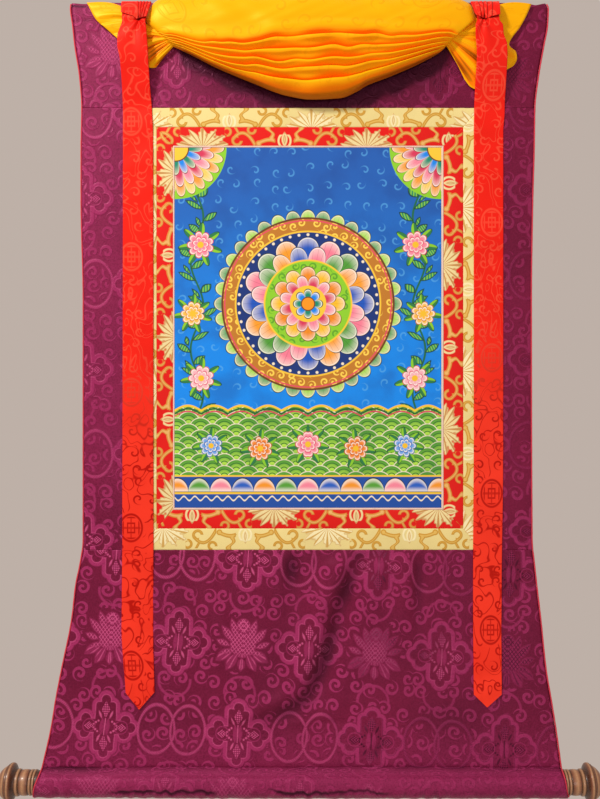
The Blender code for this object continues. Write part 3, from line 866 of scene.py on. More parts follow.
def brocade_scroll(finish, along, across):
    """Vine, flower and vein masks of a border. across runs over the strip, in units of PIXEL, from its outer edge
    at -9.3 to its inner edge at 9.3."""
    spot = finish.wrap(along, BROCADE_REPEAT)
    side = abs(spot)
    away = 9.5 - across
    rows = (
        (0.0, 8.6, 90, 10.0, 4.4), (7.2, 7.6, 54, 10.5, 4.0), (13.2, 5.0, 27, 11.0, 3.8), (17.0, 1.0, 6, 9.0, 3.0),
    )
    petals = finish.least(finish.leaves(side, away, rows), finish.disc(side, away, 0.0, 0.0, 9.0))
    petals = petals + 0.45 * finish.sine(spot * 0.9 + away * 1.1)
    ray = finish.angle(away + 2.0, side)
    veins = finish.sine(ray * 19.0 + 1.0)
    bud_x = BROCADE_REPEAT / 2 - side
    bud = finish.leaf(bud_x, across, 0.0, 3.0, 90, 7.4, 3.0)
    horns = finish.most(abs(finish.oval(bud_x, across - 4.4, 6.0, 7.0)) - 1.0, -1.6 - across)
    upright = abs(bud_x - 12.4 + 0.36 * across - 1.7 * finish.sine(across * 0.6))
    upright = upright - 2.2 - 0.5 * finish.sine(across * 0.5)
    upright = finish.most(upright, across - 5.0)
    foot_line = 4.6 + 2.2 * finish.step(bud_x, 12.0, 27.0) - 1.7 * finish.sine((bud_x - 9.0) * 0.17)
    foot = finish.most(abs(across - foot_line) - 2.0, 9.5 - bud_x, bud_x - 26.5)
    foot = finish.least(foot, finish.disc(bud_x, across, 26.0, 7.0, 2.9))
    off = bud_x - 42.5
    hump = abs(across + 3.4 - 0.075 * off * off) / finish.math("SQRT", 1 + 0.0225 * off * off) - 1.6
    hump = finish.most(hump, -13.5 - off, off - 8.0)
    hook = abs(finish.disc(bud_x, across, 47.8, 4.2, 4.3)) - 1.4
    hook = finish.most(hook, finish.least(46.5 - bud_x, 4.6 - across))
    branch = finish.most(abs(bud_x - 44.5 + 0.55 * across) - 1.4, across + 2.5, -9.0 - across)
    cup = abs(finish.disc(bud_x, across, 33.0, -6.6, 3.7)) - 1.3
    cup = finish.most(cup, finish.least(33.0 - bud_x, -7.0 - across))
    tail = finish.most(abs(finish.disc(bud_x, across, 58.0, -4.6, 3.8)) - 1.3, bud_x - 60.0)
    vine = finish.least(upright, foot, hump, hook, branch, cup, tail)
    open_share = finish.step(finish.least(petals, bud, horns), 0.9, 1.8)
    vine_mask = finish.inside(vine) * open_share
    core = finish.step(vine, -0.8, -1.6) * vine_mask
    flower_mask = finish.most(finish.inside(petals), finish.inside(bud), finish.inside(horns))
    lines = finish.most(finish.step(veins, 0.45, 0.8), finish.line(petals, 0.5), finish.line(bud + 1.5, 0.3))
    return vine_mask, core, flower_mask, lines * flower_mask


def brocade(name, ground, scroll, core_tone, flower, vein):
    """Silk brocade with a scroll in metal thread."""
    look = Finish(name, Specular_IOR_Level=0.4, Specular_Tint=tuple(min(1.0, part + 0.1) for part in scroll))
    x, y = look.on_cloth()
    along, across = look.on_cloth(MM * PIXEL)
    vine, core, petals, lines = brocade_scroll(look, along, across)
    slub = look.noise(1.0, 2.0, x * 2.0, y * 0.5)
    cloud = look.noise(14.0, 2.0, x * MM, y * MM, 0.4)
    base = look.mix(look.step(cloud, 0.3, 0.8) * 0.5 + slub * 0.25, ground, dimmed(ground, 0.8))
    thread = look.mix(slub * 0.6, scroll, dimmed(scroll, 0.76))
    thread = look.mix(core * 0.7, thread, core_tone)
    pale = look.mix(slub * 0.6, flower, dimmed(flower, 0.86))
    colour = look.mix(petals, look.mix(vine, base, thread), pale)
    colour = look.mix(lines * 0.85, colour, vein)
    shown = look.most(vine, petals)
    look.feed(Base_Color=colour, Roughness=0.5 - shown * 0.1 + (slub - 0.5) * 0.15, Metallic=shown * 0.08)
    look.raise_by(shown * 0.7 - lines * 0.25 + look.weave(x, y, 0.7) * 0.1 + slub * 0.2, 0.00025)
    return look.material


def ribbon_silk(name):
    """Red silk with fine wandering lines, clouds and fretted roundels in its weave, painted lighter lower down,
    with shade painted from its fold attribute.
    """
    look = Finish(name, Specular_IOR_Level=0.4, Specular_Tint=(1.0, 0.22, 0.12))
    x, y = look.on_cloth()
    along, down = look.on_cloth(MM * PIXEL)
    fold = look.fold()
    round_y = look.wrap(down - 118.0, 136.0)
    ring = look.oval(along, round_y, 10.5, 13.5)
    square = look.most(abs(along) * 1.25, abs(round_y) * 0.9)
    fret = look.line(look.wrap(square + 1.0, 5.2), 0.75) * look.inside(ring + 1.5)
    bars = look.line(look.least(abs(along), abs(round_y) - 0.5), 0.6) * look.inside(ring + 1.5)
    roundel = look.most(look.line(ring, 0.9), fret, bars * 0.8)
    field = look.noise(0.045, 1.0, along, down * 0.8, 3.0, distort=0.6)
    lines = look.most(look.line(field - 0.47, 0.012, 0.008), look.line(field - 0.60, 0.011, 0.008))
    curl = look.curls(along, down, 17.0, reach=0.36, thick=0.12)
    vine = look.most(lines, curl) * look.step(ring, 2.0, 4.0)
    figure = look.most(roundel, vine)
    # Painted light: lower down, the ground is painted a lighter red while the figures turn dark
    lower = look.step(down, 330.0, 470.0)
    red = palette("ribbon_red")
    light = look.mix(figure * 0.36, red, linear("ff6f50"))
    dark = look.mix(figure * 0.8, red, linear("9c0a08"))
    cloud = look.noise(16.0, 2.0, x * MM, y * MM)
    colour = look.mix(lower, light, look.mix(0.3 * (1 - figure), dark, linear("ff5a3c")))
    colour = look.mix(look.step(cloud, 0.4, 0.75) * 0.28, colour, linear("d01a10"))
    # Painted shade from the fold attribute
    colour = look.mix(look.step(fold, 0.0, 1.0) * 0.9, colour, linear("6a0305"))
    slub = look.noise(1.0, 2.0, x * 2.0, y * 0.3)
    look.feed(Base_Color=colour, Roughness=0.48 - figure * 0.08 + (slub - 0.5) * 0.15)
    look.raise_by(figure * 0.6 + slub * 0.3 + look.weave(x, y, 0.7) * 0.08, 0.00015)
    return look.material


def cover_silk(name):
    """Yellow silk with faint woven clouds, with shade painted in deeper orange, brownish orange and dark red inside
    its folds.
    """
    look = Finish(name, Specular_IOR_Level=0.6, Specular_Tint=(1.0, 0.78, 0.08))
    x, y = look.on_cloth()
    fold = look.fold()
    curl = look.curls(x, y, 31.0, reach=0.38, thick=0.1)
    round_x, round_y = look.wrap(x + 149.0, 307.0), y - 46.0 + (x + 149.0) * 0.045
    ring = look.disc(round_x, round_y, 0.0, 0.0, 16.0)
    fret = look.line(look.wrap(look.most(abs(round_x), abs(round_y)), 6.5), 0.8)
    sprig_x = abs(look.wrap(x - 57.0, 150.0))
    sprig_y = look.wrap(y - 30.0, 90.0)
    rows = ((0.0, -4.0, 90, 8.0, 3.0), (9.0, 1.0, -30, 8.0, 2.4), (20.0, 0.0, -20, 7.0, 1.8))
    sprig = look.leaves(sprig_x, sprig_y, rows)
    figure = look.most(curl, look.line(ring, 1.0), fret * look.inside(ring + 2.0), look.line(sprig, 0.6))
    slub = look.noise(1.0, 2.0, x * 2.4, y * 0.4)
    # Painted shade from the fold attribute: orange, then brownish orange, then dark red deeper in the folds
    shaded = palette("silk_yellow")
    for low, high, tone in (
        (0.0, 0.34, linear("fd9f05")),
        (0.28, 0.58, palette("silk_fold_shade")),
        (0.6, 0.8, linear("bb6404")),
        (0.82, 1.0, linear("8c2402")),
    ):
        shaded = look.mix(look.step(fold, low, high), shaded, tone)
    colour = look.mix(figure * (0.3 - 0.2 * look.step(fold, 0.1, 0.5)), shaded, linear("e08a00"))
    look.feed(Base_Color=colour, Roughness=0.42 + figure * 0.08 + (slub - 0.5) * 0.14)
    look.raise_by(figure * 0.5 + slub * 0.45 + look.weave(x, y, 0.6) * 0.06, 0.00012)
    return look.material


def twill(name, colour, rough=0.6):
    """A narrow band of twill."""
    look = Finish(name, Specular_IOR_Level=0.25)
    x, y = look.on_cloth()
    rib = look.sine((x + y) * (2 * math.pi / 1.1)) * 0.5 + 0.5
    soil = look.noise(60.0, 3.0, x * MM, y * MM)
    shade = look.mix(rib * 0.25 + look.step(soil, 0.4, 0.8) * 0.35, colour, dimmed(colour, 0.62))
    look.feed(Base_Color=shade, Roughness=rough + (soil - 0.5) * 0.2)
    look.raise_by(rib, 0.00012)
    return look.material


def petal_ring(look, colour, radius, turn, count, inner, outer, tones, rim, line_colour):
    """A ring of petals drawn over a colour. tones are the petals' colours in order."""
    share = turn * (count / (2 * math.pi))
    number = look.math("ROUND", share)
    off = abs(share - number) * 2
    edge = radius - (inner + (outer - inner) * look.math("SQRT", look.most(1 - off * off, 0.0)))
    tone = look.choose(number, tones) if len(tones) > 1 else tones[0]
    shaded = look.mix(look.step(edge, -(outer - inner) * 0.85, 0.0) * 0.5, tone, rim)
    drawn = look.fill(colour, edge, shaded, 0.4)
    ribs = look.line(look.wrap(off, 0.5), 0.02, 0.02) * look.inside(edge + 3.0, 0.4)
    drawn = look.mix(ribs * 0.35, drawn, line_colour)
    drawn = look.trace(drawn, edge + 1.6, 0.45, rim, 0.3)
    return look.trace(drawn, edge, 0.55, line_colour, 0.35)


def petal_rings(look, colour, radius, turn, rings):
    """Several rings of petals. Each is its turn, count, inner and outer reach, tones, rim and line colour."""
    for shift, *ring in rings:
        colour = petal_ring(look, colour, radius, turn + shift, *ring)
    return colour


def blossoms(look, colour, side, y, flowers):
    """Small flowers with a wreath of leaves, drawn over a colour. Each is its place, size and two tones."""
    for centre_x, centre_y, size, tone, edge_tone in flowers:
        away_x, away_y = side - centre_x, y - centre_y
        radius, turn = look.length(away_x, away_y), look.angle(away_x, away_y)
        leaves = radius - size * (1.05 + 0.62 * look.sine(turn * 7.0 + 0.6))
        ribs = look.step(look.sine(turn * 14.0 + 1.2), -0.2, 0.5)
        colour = look.fill(colour, leaves, look.mix(ribs, linear("2c7d4a"), linear("8ccf30")))
        colour = look.trace(colour, leaves, 0.6, linear("123d2a"))
        outer_ring = (0.0, 9, size * 0.62, size, (tone,), WHITE, edge_tone)
        inner_ring = (0.35, 7, size * 0.32, size * 0.62, (tone,), WHITE, edge_tone)
        colour = petal_rings(look, colour, radius, turn, (outer_ring, inner_ring))
        colour = look.fill(colour, radius - size * 0.24, linear("f5c431"))
    return colour


def scale_field(look, x, y):
    """Distance from the middle of the ringed scale that shows at each place, a common wave pattern."""
    reach, tall = 17.0, 8.5
    base = look.math("FLOOR", y / tall)
    found = None
    for ahead in range(3):
        row = base + float(ahead)
        across = look.wrap(x - (row % 2.0) * reach, 2 * reach)
        away = look.length(across, y - row * tall)
        found = away if found is None else look.blend(look.step(away, reach, reach - 0.3), found, away)
    return found


def blue_field(look, x, y, side):
    """The upper field's wash of blue with fine curls and a leafy stem up each side."""
    wash = look.noise(0.02, 3.0, x, y, 5.0)
    colour = look.mix(look.step(y, -240.0, 60.0), linear("1f5fb8"), SKY)
    colour = look.mix(look.step(wash, 0.4, 0.7) * 0.35, colour, linear("17408f"))
    scatter = look.curls(x, y, 26.0, reach=0.3, thick=0.1, seed=0.2)
    colour = look.mix(scatter * 0.5, colour, linear("5db4f2"))
    stem = side - 158.0 - 9.0 * look.sine(y * 0.05)
    colour = look.trace(colour, stem, 1.5, linear("1d6b4b"))
    leaves = look.least(
        look.leaf(stem, look.wrap(y, 34.0), 10.0, -5.0, -32, 11.0, 4.2),
        look.leaf(stem, look.wrap(y + 17.0, 34.0), -10.0, -5.0, 212, 11.0, 4.2),
        look.leaf(stem, look.wrap(y + 8.0, 34.0), 7.0, -7.0, -62, 7.0, 2.6),
    )
    vein = look.step(look.sine((stem - y * 0.4) * 1.6), -0.1, 0.5)
    colour = look.fill(colour, leaves, look.mix(vein, linear("2f8f62"), linear("86c94a")))
    return look.trace(colour, leaves, 0.55, linear("0f3b35"))


def corner_fans(look, x, y, side):
    """Fans of petals in the two upper corners."""
    radius, turn = look.length(188.0 - side, y + 255.0), look.angle(188.0 - side, y + 255.0)
    colour = look.fill(blue_field(look, x, y, side), radius - 72.0, LEAF)
    rings = (
        (0.0, 26, 52.0, 69.0, (linear("f4a13a"), linear("f7d36a")), CREAM, BROWN),
        (0.12, 20, 36.0, 55.0, (PINK, ROSE), WHITE, BROWN),
        (0.0, 16, 20.0, 38.0, (JADE, SKY), CREAM, BROWN),
    )
    colour = petal_rings(look, colour, radius, turn, rings)
    colour = look.fill(colour, radius - 18.0, GOLD)
    return look.trace(colour, radius - 18.0, 0.9, BROWN)


def rosette(look, x, y, side):
    """A lotus rosette in rings, with blossoms on the stems beside it."""
    flowers = (
        (153.0, -118.0, 19.0, PINK, ROSE),
        (164.0, -20.0, 17.0, linear("f9bf4a"), linear("c4661a")),
        (152.0, 72.0, 18.0, linear("f7b7c3"), ROSE),
    )
    colour = blossoms(look, blue_field(look, x, y, side), side, y, flowers)
    radius, turn = look.length(x, y + 34.0), look.angle(x, y + 34.0)
    colour = petal_ring(look, colour, radius, turn, 36, 118.0, 134.0, (linear("3fa05a"), LIME), CREAM, INK)
    scroll = look.curls(x, y, 15.0, reach=0.44, thick=0.2, seed=0.7)
    colour = look.fill(colour, radius - 122.0, look.mix(scroll, linear("c07c2c"), linear("fbd656")))
    colour = look.trace(colour, radius - 122.0, 1.3, BROWN)
    colour = look.trace(colour, radius - 118.5, 0.9, linear("e8486a"))
    colour = look.fill(colour, radius - 103.0, linear("16357c"))
    colour = look.trace(colour, radius - 103.0, 1.2, GOLD)
    beads = look.length(look.wrap(turn * (48 / (2 * math.pi)), 1.0) * 12.5, radius - 98.5) - 2.0
    colour = look.fill(colour, beads, CREAM)
    tones = (linear("1b57c4"), linear("f4809a"), linear("4f9e38"), linear("f7a02b"))
    rings = ((0.0, 16, 76.0, 95.0, tones, WHITE, INK), (0.196, 16, 58.0, 82.0, tones, WHITE, INK))
    colour = petal_rings(look, colour, radius, turn, rings)
    colour = look.fill(colour, radius - 62.0, LEAF)
    colour = look.trace(colour, radius - 62.0, 1.2, GOLD)
    colour = look.mix(scroll * look.inside(radius - 59.0) * 0.7, colour, linear("3f8f2a"))
    rings = (
        (0.0, 12, 38.0, 53.0, (linear("f9c22b"), linear("f08e1e")), CREAM, BROWN),
        (0.26, 12, 26.0, 41.0, (ROSE, PINK), WHITE, BROWN),
    )
    colour = look.fill(petal_rings(look, colour, radius, turn, rings), radius - 26.0, GOLD)
    colour = petal_ring(look, colour, radius, turn, 8, 12.0, 21.0, (JADE, SKY), WHITE, INK)
    colour = look.fill(colour, radius - 9.5, linear("f79a1f"))
    return look.trace(colour, radius - 9.5, 0.8, BROWN)


def scales_and_petals(look, x, y, side):
    """A green field of ringed scales with blossoms, over a row of petals."""
    wash = look.noise(0.02, 3.0, x, y, 5.0)
    arch = y - (118.0 - 7.0 * abs(look.sine(x * (math.pi / 38.0))))
    scale = scale_field(look, x, y)
    green = look.mix(look.step(scale, 15.0, 2.0), linear("57a336"), linear("b4e650"))
    green = look.trace(green, look.wrap(scale, 5.6), 0.7, linear("2f7530"))
    green = look.trace(green, scale - 16.4, 0.8, CREAM)
    green = look.mix(look.step(wash, 0.45, 0.7) * 0.4, green, linear("2f7a3a"))
    colour = look.mix(look.step(arch, -0.5, 0.5), blue_field(look, x, y, side), green)
    for level, wide, tone in ((0.0, 1.6, GOLD), (4.5, 1.2, linear("1d5a34")), (8.0, 1.0, ROSE)):
        colour = look.trace(colour, arch - level, wide, tone)
    flowers = (
        (68.0, 172.0, 17.0, linear("f48b2c"), linear("b8461a")),
        (138.0, 168.0, 16.0, linear("6fa8f0"), linear("1c4fa8")),
        (0.0, 166.0, 18.0, PINK, ROSE),
    )
    colour = blossoms(look, colour, side, y, flowers)
    band_y = y - 226.0
    lotus = look.wrap(x, 31.0) / 15.5
    lift = look.math("SQRT", look.most(1 - lotus * lotus, 0.0)) * 20.0
    frieze = look.most(8.0 - lift - band_y, band_y - 8.0)
    tones = (PINK, linear("2a62c9"), linear("f49a2c"), linear("57a33a"))
    tone = look.choose(look.math("ROUND", x / 31.0), tones)
    tone = look.mix(look.step(frieze, -9.0, -1.0) * 0.7, tone, WHITE)
    in_band = look.inside(-15.0 - band_y)
    colour = look.mix(in_band, colour, linear("1d4fa8"))
    colour = look.trace(colour, band_y + 15.0, 1.2, GOLD)
    colour = look.fill(colour, frieze, tone)
    colour = look.trace(colour, frieze, 0.8, INK)
    colour = look.trace(colour, band_y - 9.5, 1.4, GOLD)
    return look.mix(look.line(band_y - 17.0 - 3.0 * look.sine(x * 0.4), 1.1) * in_band, colour, CREAM)


def painted_canvas(name, design):
    """Painted canvas with one part of the panel's generic ornament."""
    look = Finish(name, Specular_IOR_Level=0.2)
    x, y = look.on_cloth()
    paper = look.noise(2.2, 3.0, x, y)
    colour = design(look, x, y, abs(x))
    colour = look.mix((paper - 0.45) * 0.25, colour, linear("8a7a60"))
    look.feed(Base_Color=colour, Roughness=0.62 + (paper - 0.5) * 0.2)
    look.raise_by(paper * 0.7 + look.weave(x, y, 0.9) * 0.15, 0.00008)
    return look.material


def bare_canvas(name):
    """Unpainted cotton canvas, a little yellowed."""
    look = Finish(name, Specular_IOR_Level=0.2)
    x, y = look.on_cloth()
    age = look.noise(7.0, 3.0, x * MM, y * MM)
    look.feed(Base_Color=look.mix(age, linear("cdbd9c"), linear("e4d9c0")), Roughness=0.85 + (age - 0.5) * 0.1)
    look.raise_by(look.weave(x, y, 0.7), 0.0001)
    return look.material


def old_wood(name, turned, colour, dark, light):
    """Polished brown wood: darker in its grooves and coves, painted shade, and paler on its rims, where wear and a
    painted highlight both show.
    """
    look = Finish(name, Specular_IOR_Level=0.5, Coat_Roughness=0.2, Coat_Weight=0.35)
    x, y, z = look.in_space()
    grain = look.noise(1.0, 4.0, x * 0.03, y * 0.5, z * 0.5, rough=0.6, distort=0.4)
    spots = look.noise(0.35, 3.0, x, y, z)
    base = look.mix(look.step(grain, 0.3, 0.7), dark, colour)
    if turned:
        radius = look.length(y + ROLL_DEPTH, z + ROD_DROP)
        out = abs(x - ROD_CENTRE_X) - ROD_HALF
        # Painted shade in the grooves, coves and next to the cloth; wear with painted highlights on the rims
        rims = look.node("ValToRGB", {"stops": knob_tones(dark, colour, light)}, {0: out / KNOB_RAMP})
        base = look.mix(0.66 + look.step(spots, 0.35, 0.7) * 0.2, base, rims)
        base = look.mix(look.step(radius, 12.0, 4.0) * 0.3, base, light)
    base = look.mix(look.step(spots, 0.6, 0.8) * 0.35, base, dark)
    look.feed(Base_Color=base, Roughness=0.36 + spots * 0.2)
    look.raise_by(grain * 0.7 + spots * 0.3, 0.00015)
    return look.material


def knob_tones(dark, colour, light):
    """Ramp stops along the knob: pale on its rims, wear with a painted highlight, and dark in its coves and next to
    the cloth, painted shade.
    """
    spots = [
        (0.0, dark), (7.6, dark), (9.5, light), (11.8, dark), (14.0, light), (16.4, dark), (19.0, colour),
        (23.5, light), (28.0, colour), (29.3, dark), (32.4, light), (35.2, dark), (38.6, dark), (40.6, colour),
        (42.4, light), (44.8, dark), (46.2, colour), (47.4, dark), (50.0, light), (54.0, colour), (57.5, light),
        (61.4, dark), (63.5, light), (67.0, colour),
    ]
    return [(place / KNOB_RAMP, tone) for place, tone in spots]


def pale_floor(name):
    """A plain floor, a little clouded."""
    look = Finish(name, Roughness=0.8)
    x, y, _ = look.in_space(1.0)
    cloud = look.noise(1.2, 3.0, x, y)
    colour = palette("floor_grey")
    look.feed(Base_Color=look.mix(cloud * 0.3, colour, dimmed(colour, 0.9)))
    return look.material


def hem_rows():
    """Drop and depth down the top panel: its raw edge behind, over the top edge, and down its front, where the
    depth is left open."""
    back = [(24.0, 2.2), (18.0, 2.1), (12.0, 2.0), (6.0, 1.95), (3.5, 1.9)]
    over = []
    for step in range(9):
        turn = math.pi * step / 8
        over.append((2.0 - 1.55 * math.sin(turn), 3.45 - 1.55 * math.cos(turn)))
    front = [3.5, 5.0, 7.0, 9.5, 12.0]
    return back + over + [(drop, math.nan) for drop in front]


def casing_rows(steps):
    """Share of the way round, drop, depth and angle of the casing's rows round the rod."""
    share = np.linspace(0, 1, steps + 1)
    angle = np.radians(ROLL_FIRST_DEG + (ROLL_LAST_DEG - ROLL_FIRST_DEG) * share)
    return share, ROLL_DROP - ROLL_RADIUS * np.cos(angle), ROLL_DEPTH + ROLL_RADIUS * np.sin(angle), angle


def top_line(x):
    """How far the top edge sags below its straight line."""
    return 2.6 * bump_at(x - 324, 9) + 1.6 * bump_at(x + 318, 14) + 0.5 * uneven(x, 210, 0.4)


def seam_puckers(x, distance, reach, length, start, deep=1.0):
    """Small puckers that die away from a seam, in millimetres."""
    return deep * sizes().pucker / MM * (uneven(x, length, start) * np.exp(-np.abs(distance) / reach))


def ground_top(look, back):
    """The top panel with its hem, with a shadow painted under the swag and shade painted along its hem seam."""
    rows = hem_rows()
    down = spaced(HEM_FRONT, TOP_SEAM, 2.6)[1:]
    drop = column([row[0] for row in rows], down)
    set_depth = column([row[1] for row in rows], np.full(len(down), math.nan))
    in_front = np.isnan(set_depth)
    left, right = curve(OUTLINE, drop) + EDGE_PIPING_WIDE, curve(OUTLINE, drop, 2) - EDGE_PIPING_WIDE
    x = left + (right - left) * np.linspace(0, 1, TOP_COLUMNS)[None, :]
    front = cloth_depth(x, drop)
    front = front - 0.55 * bump_at(drop - HEM_LINE, 1.3)
    front = front + seam_puckers(x, drop - HEM_LINE, 9, 17, 0.3, 1.1)
    front = front + 0.8 * uneven(x, 130, 1.0) * ease((drop - 10) / 60) * ease((150 - drop) / 30)
    front = front - fall(TOP_SEAM - drop) - fall(np.minimum(x - left, right - x), 0.9)
    depth = np.where(in_front, front, set_depth)
    shown = drop + top_line(x) * ease((40 - drop) / 38)
    # Painted shadow under the swag, darkest just below its lower edge
    swag_x, swag_drop = np.array(SWAG_BOTTOM)[:, 1:].T
    below = drop - np.interp(x - 5, swag_x, swag_drop)
    inner = ease((x + 196) / 26) * ease((212 - x) / 26)
    shade = 0.82 * inner * ease((28 + 6 * uneven(x, 60, 0.7) - below) / 22) + 0.42 * inner * ease((84 - below) / 60)
    # Painted shade along the hem seam, and in the gap under the top edge at the left
    hem_at = drop - HEM_LINE + 1.3 * uneven(x, 31, 0.5)
    shade = shade + (0.4 + 0.2 * uneven(x, 22, 1.1)) * bump_at(hem_at, 2.2) * (drop > HEM_FRONT)
    shade = shade + 0.95 * bump_at(drop - 4.6, 1.9) * ease((-305 - x) / 14) * in_front
    # Painted shade, slightly darker to the right, kept to the front
    shade = np.where(in_front, shade + 0.05 * ease((x - 40) / 160), 0)
    return cloth(
        "ground_top_cloth", (x, shown, depth),
        (x + TOP_WEAVE_SHIFT[0], np.where(in_front, drop, -drop) + TOP_WEAVE_SHIFT[1]),
        sizes().brocade, look, ["ground_top"], np.clip(shade, 0, 1), back,
    )


def upright_weave(x, drop, medallion):
    """Positions on the cloth for a panel cut with its weave upright and a medallion at one place."""
    across = x - medallion[0] + MEDALLION_AT[0] * PIXEL
    run = drop - medallion[1] + MEDALLION_AT[1] * PIXEL
    turn = math.radians(WEAVE_LEAN_DEG)
    return across * math.cos(turn) - run * math.sin(turn), across * math.sin(turn) + run * math.cos(turn)


def ground_side(name, index, look, back, node, medallion):
    """A side panel between the piping and the gold border. index is 1 for the left and 2 for the right."""
    drop = spaced(TOP_SEAM, LOW_SEAM, 5.0)[:, None]
    if index == 1:
        left, right = curve(OUTLINE, drop) + EDGE_PIPING_WIDE, GOLD_BOX[0]
    else:
        left, right = GOLD_BOX[1], curve(OUTLINE, drop, 2) - EDGE_PIPING_WIDE
    share = spaced(0, 80, 4.0)[None, :] / 80
    x = left + (right - left) * share
    belly = np.sin(math.pi * share)
    depth = cloth_depth(x, drop) + 0.7 * belly + 0.35 * uneven(drop, 90, 0.7) * belly
    gold_side = np.minimum(np.abs(x - GOLD_BOX[0]), np.abs(x - GOLD_BOX[1]))
    depth = depth + seam_puckers(drop, gold_side, 5, 15, 0.9)
    depth = depth - fall(np.minimum(x - left, right - x)) - fall(np.minimum(drop - TOP_SEAM, LOW_SEAM - drop))
    # Painted shade: a little darker on the right panel, and along the seam with the gold border
    shade = (0.1 * uneven(drop + 0.6 * x, 190, 0.8) + 0.1) * (x > 0) + 0.3 * bump_at(gold_side, 3)
    return cloth(
        name, (x, drop, depth), upright_weave(x, drop, medallion), sizes().brocade, look, [node],
        np.clip(shade, 0, 1), back,
    )


def ground_bottom(look, back):
    """The lower panel with its soft folds, then the casing round the rod and its tab behind."""
    flat = spaced(LOW_SEAM, CASING_SEAM, 3.3)
    share, roll_drop, _, angle = casing_rows(CASING_STEPS)
    none = np.zeros(len(flat))
    drop = column(flat, roll_drop, [CASING_SEAM, TAB_TOP])
    on_roll = column(none, np.ones(len(angle)), [2, 2])
    turned = column(none, angle, [angle[-1]] * 2)
    round_share = column(none, share, [1, 1])
    tab_depth = column(none, np.zeros(len(angle)), [TAB_DEPTH - 1, TAB_DEPTH - 3])
    left = np.where(on_roll > 0, curve(ROLL_EDGES, round_share), curve(OUTLINE, drop)) + EDGE_PIPING_WIDE
    right = np.where(on_roll > 0, curve(ROLL_EDGES, round_share, 2), curve(OUTLINE, drop, 2)) - EDGE_PIPING_WIDE
    x = left + (right - left) * np.linspace(0, 1, BOTTOM_COLUMNS)[None, :]
    folds, shade = soft_folds(x, drop)
    panel = cloth_depth(x, drop) + folds
    slack = ease((drop - LOW_SEAM) / 60)
    panel = panel + slack * (1.2 * uneven(x + 0.25 * drop, 105, 0.5) + 0.8 * uneven(x - 0.4 * drop, 63, 1.9))
    panel = panel + seam_puckers(x, CASING_SEAM - drop, 16, 19, 0.6, 1.3)
    panel = panel + seam_puckers(x, drop - LOW_SEAM, 9, 16, 1.4, 1.6)
    panel = panel - 0.9 * bump_at(drop - CASING_SEAM, 2.2) - fall(drop - LOW_SEAM)
    panel = np.maximum(panel, 1.4)
    gathers = uneven(x, 23, 0.2) * 0.7 + uneven(x, 9.5, 1.1) * 0.3
    low = ease((turned - math.radians(85)) / math.radians(35)) * ease((math.radians(230) - turned) / 0.6)
    front = np.clip(np.sin(turned - math.radians(25)), 0, 1)
    gather = sizes().gather / MM
    relief = gather * (0.5 + 0.5 * gathers) * (0.45 * front + low)
    crease_at = np.radians(107 + 6 * uneven(x, 70, 0.8) + 5 * uneven(x, 26, 2.2) + 3 * uneven(x, 12, 0.4))
    crushed = ease((x + 275) / 14) * ease((-122 - x) / 16) * (0.8 + 0.35 * uneven(x, 37, 1.2))
    crushed = crushed + 1.1 * bump_at(x + 26, 21) + 0.5 * ease((x + 30) / 20) * ease((118 - x) / 24)
    crease = np.clip(0.16 + crushed, 0, 1)
    relief = relief - 1.3 * crease * bump_at(turned - crease_at, 0.07)
    relief = relief + 0.9 * crease * bump_at(turned - crease_at - 0.2, 0.14)
    relief = relief + 0.9 * ease((x + 270) / 140) * low
    start_in = 0.05 * ROLL_RADIUS * bump_at(turned - math.radians(ROLL_FIRST_DEG), 0.12)
    round_rod = ROD_RADIUS - (ROD_DROP - ROLL_DROP) * np.cos(turned) + 0.55
    radius = np.maximum(ROLL_RADIUS + relief - start_in, round_rod)
    rolled_drop = ROLL_DROP - radius * np.cos(turned)
    rolled_depth = ROLL_DEPTH + radius * np.sin(turned)
    shown = np.where(on_roll == 1, rolled_drop, drop)
    depth = np.where(on_roll == 0, panel, np.where(on_roll == 1, rolled_depth, tab_depth))
    depth = depth - (on_roll == 0) * fall(np.minimum(x - left, right - x), 0.9)
    down = LOW_SEAM + path_length(drop + 0 * x, np.where(on_roll == 0, 0, depth))
    # Painted shade in blotches along the casing's crease and in the gathers underneath
    roll_shade = 1.15 * crease * bump_at(turned - crease_at + 0.01, 0.12)
    roll_shade = roll_shade + (0.12 + 0.3 * np.clip(-gathers, 0, 1)) * low
    shade = np.where(on_roll == 1, roll_shade, shade * (on_roll == 0))
    # Painted shade along the casing seam, strongest at the left
    seam_dark = 0.15 + 0.45 * ease((-250 - x) / 60) + 0.15 * uneven(x, 90, 0.3)
    shade = shade + seam_dark * bump_at(drop - CASING_SEAM, 1.6) * (on_roll == 0)
    return cloth(
        "ground_bottom_cloth", (x, shown, depth), (x, down), sizes().brocade, look,
        ["ground_bottom"], np.clip(shade, 0, 1), back,
    )


def make_ground():
    """The four damask panels."""
    look, back = damask("plum damask"), damask("plum damask back", False)
    top = ground_top(look, back)
    left = ground_side("ground_left_cloth", 1, look, back, "ground_left", LEFT_MEDALLION)
    right = ground_side("ground_right_cloth", 2, look, back, "ground_right", RIGHT_MEDALLION)
    bottom = ground_bottom(look, back)


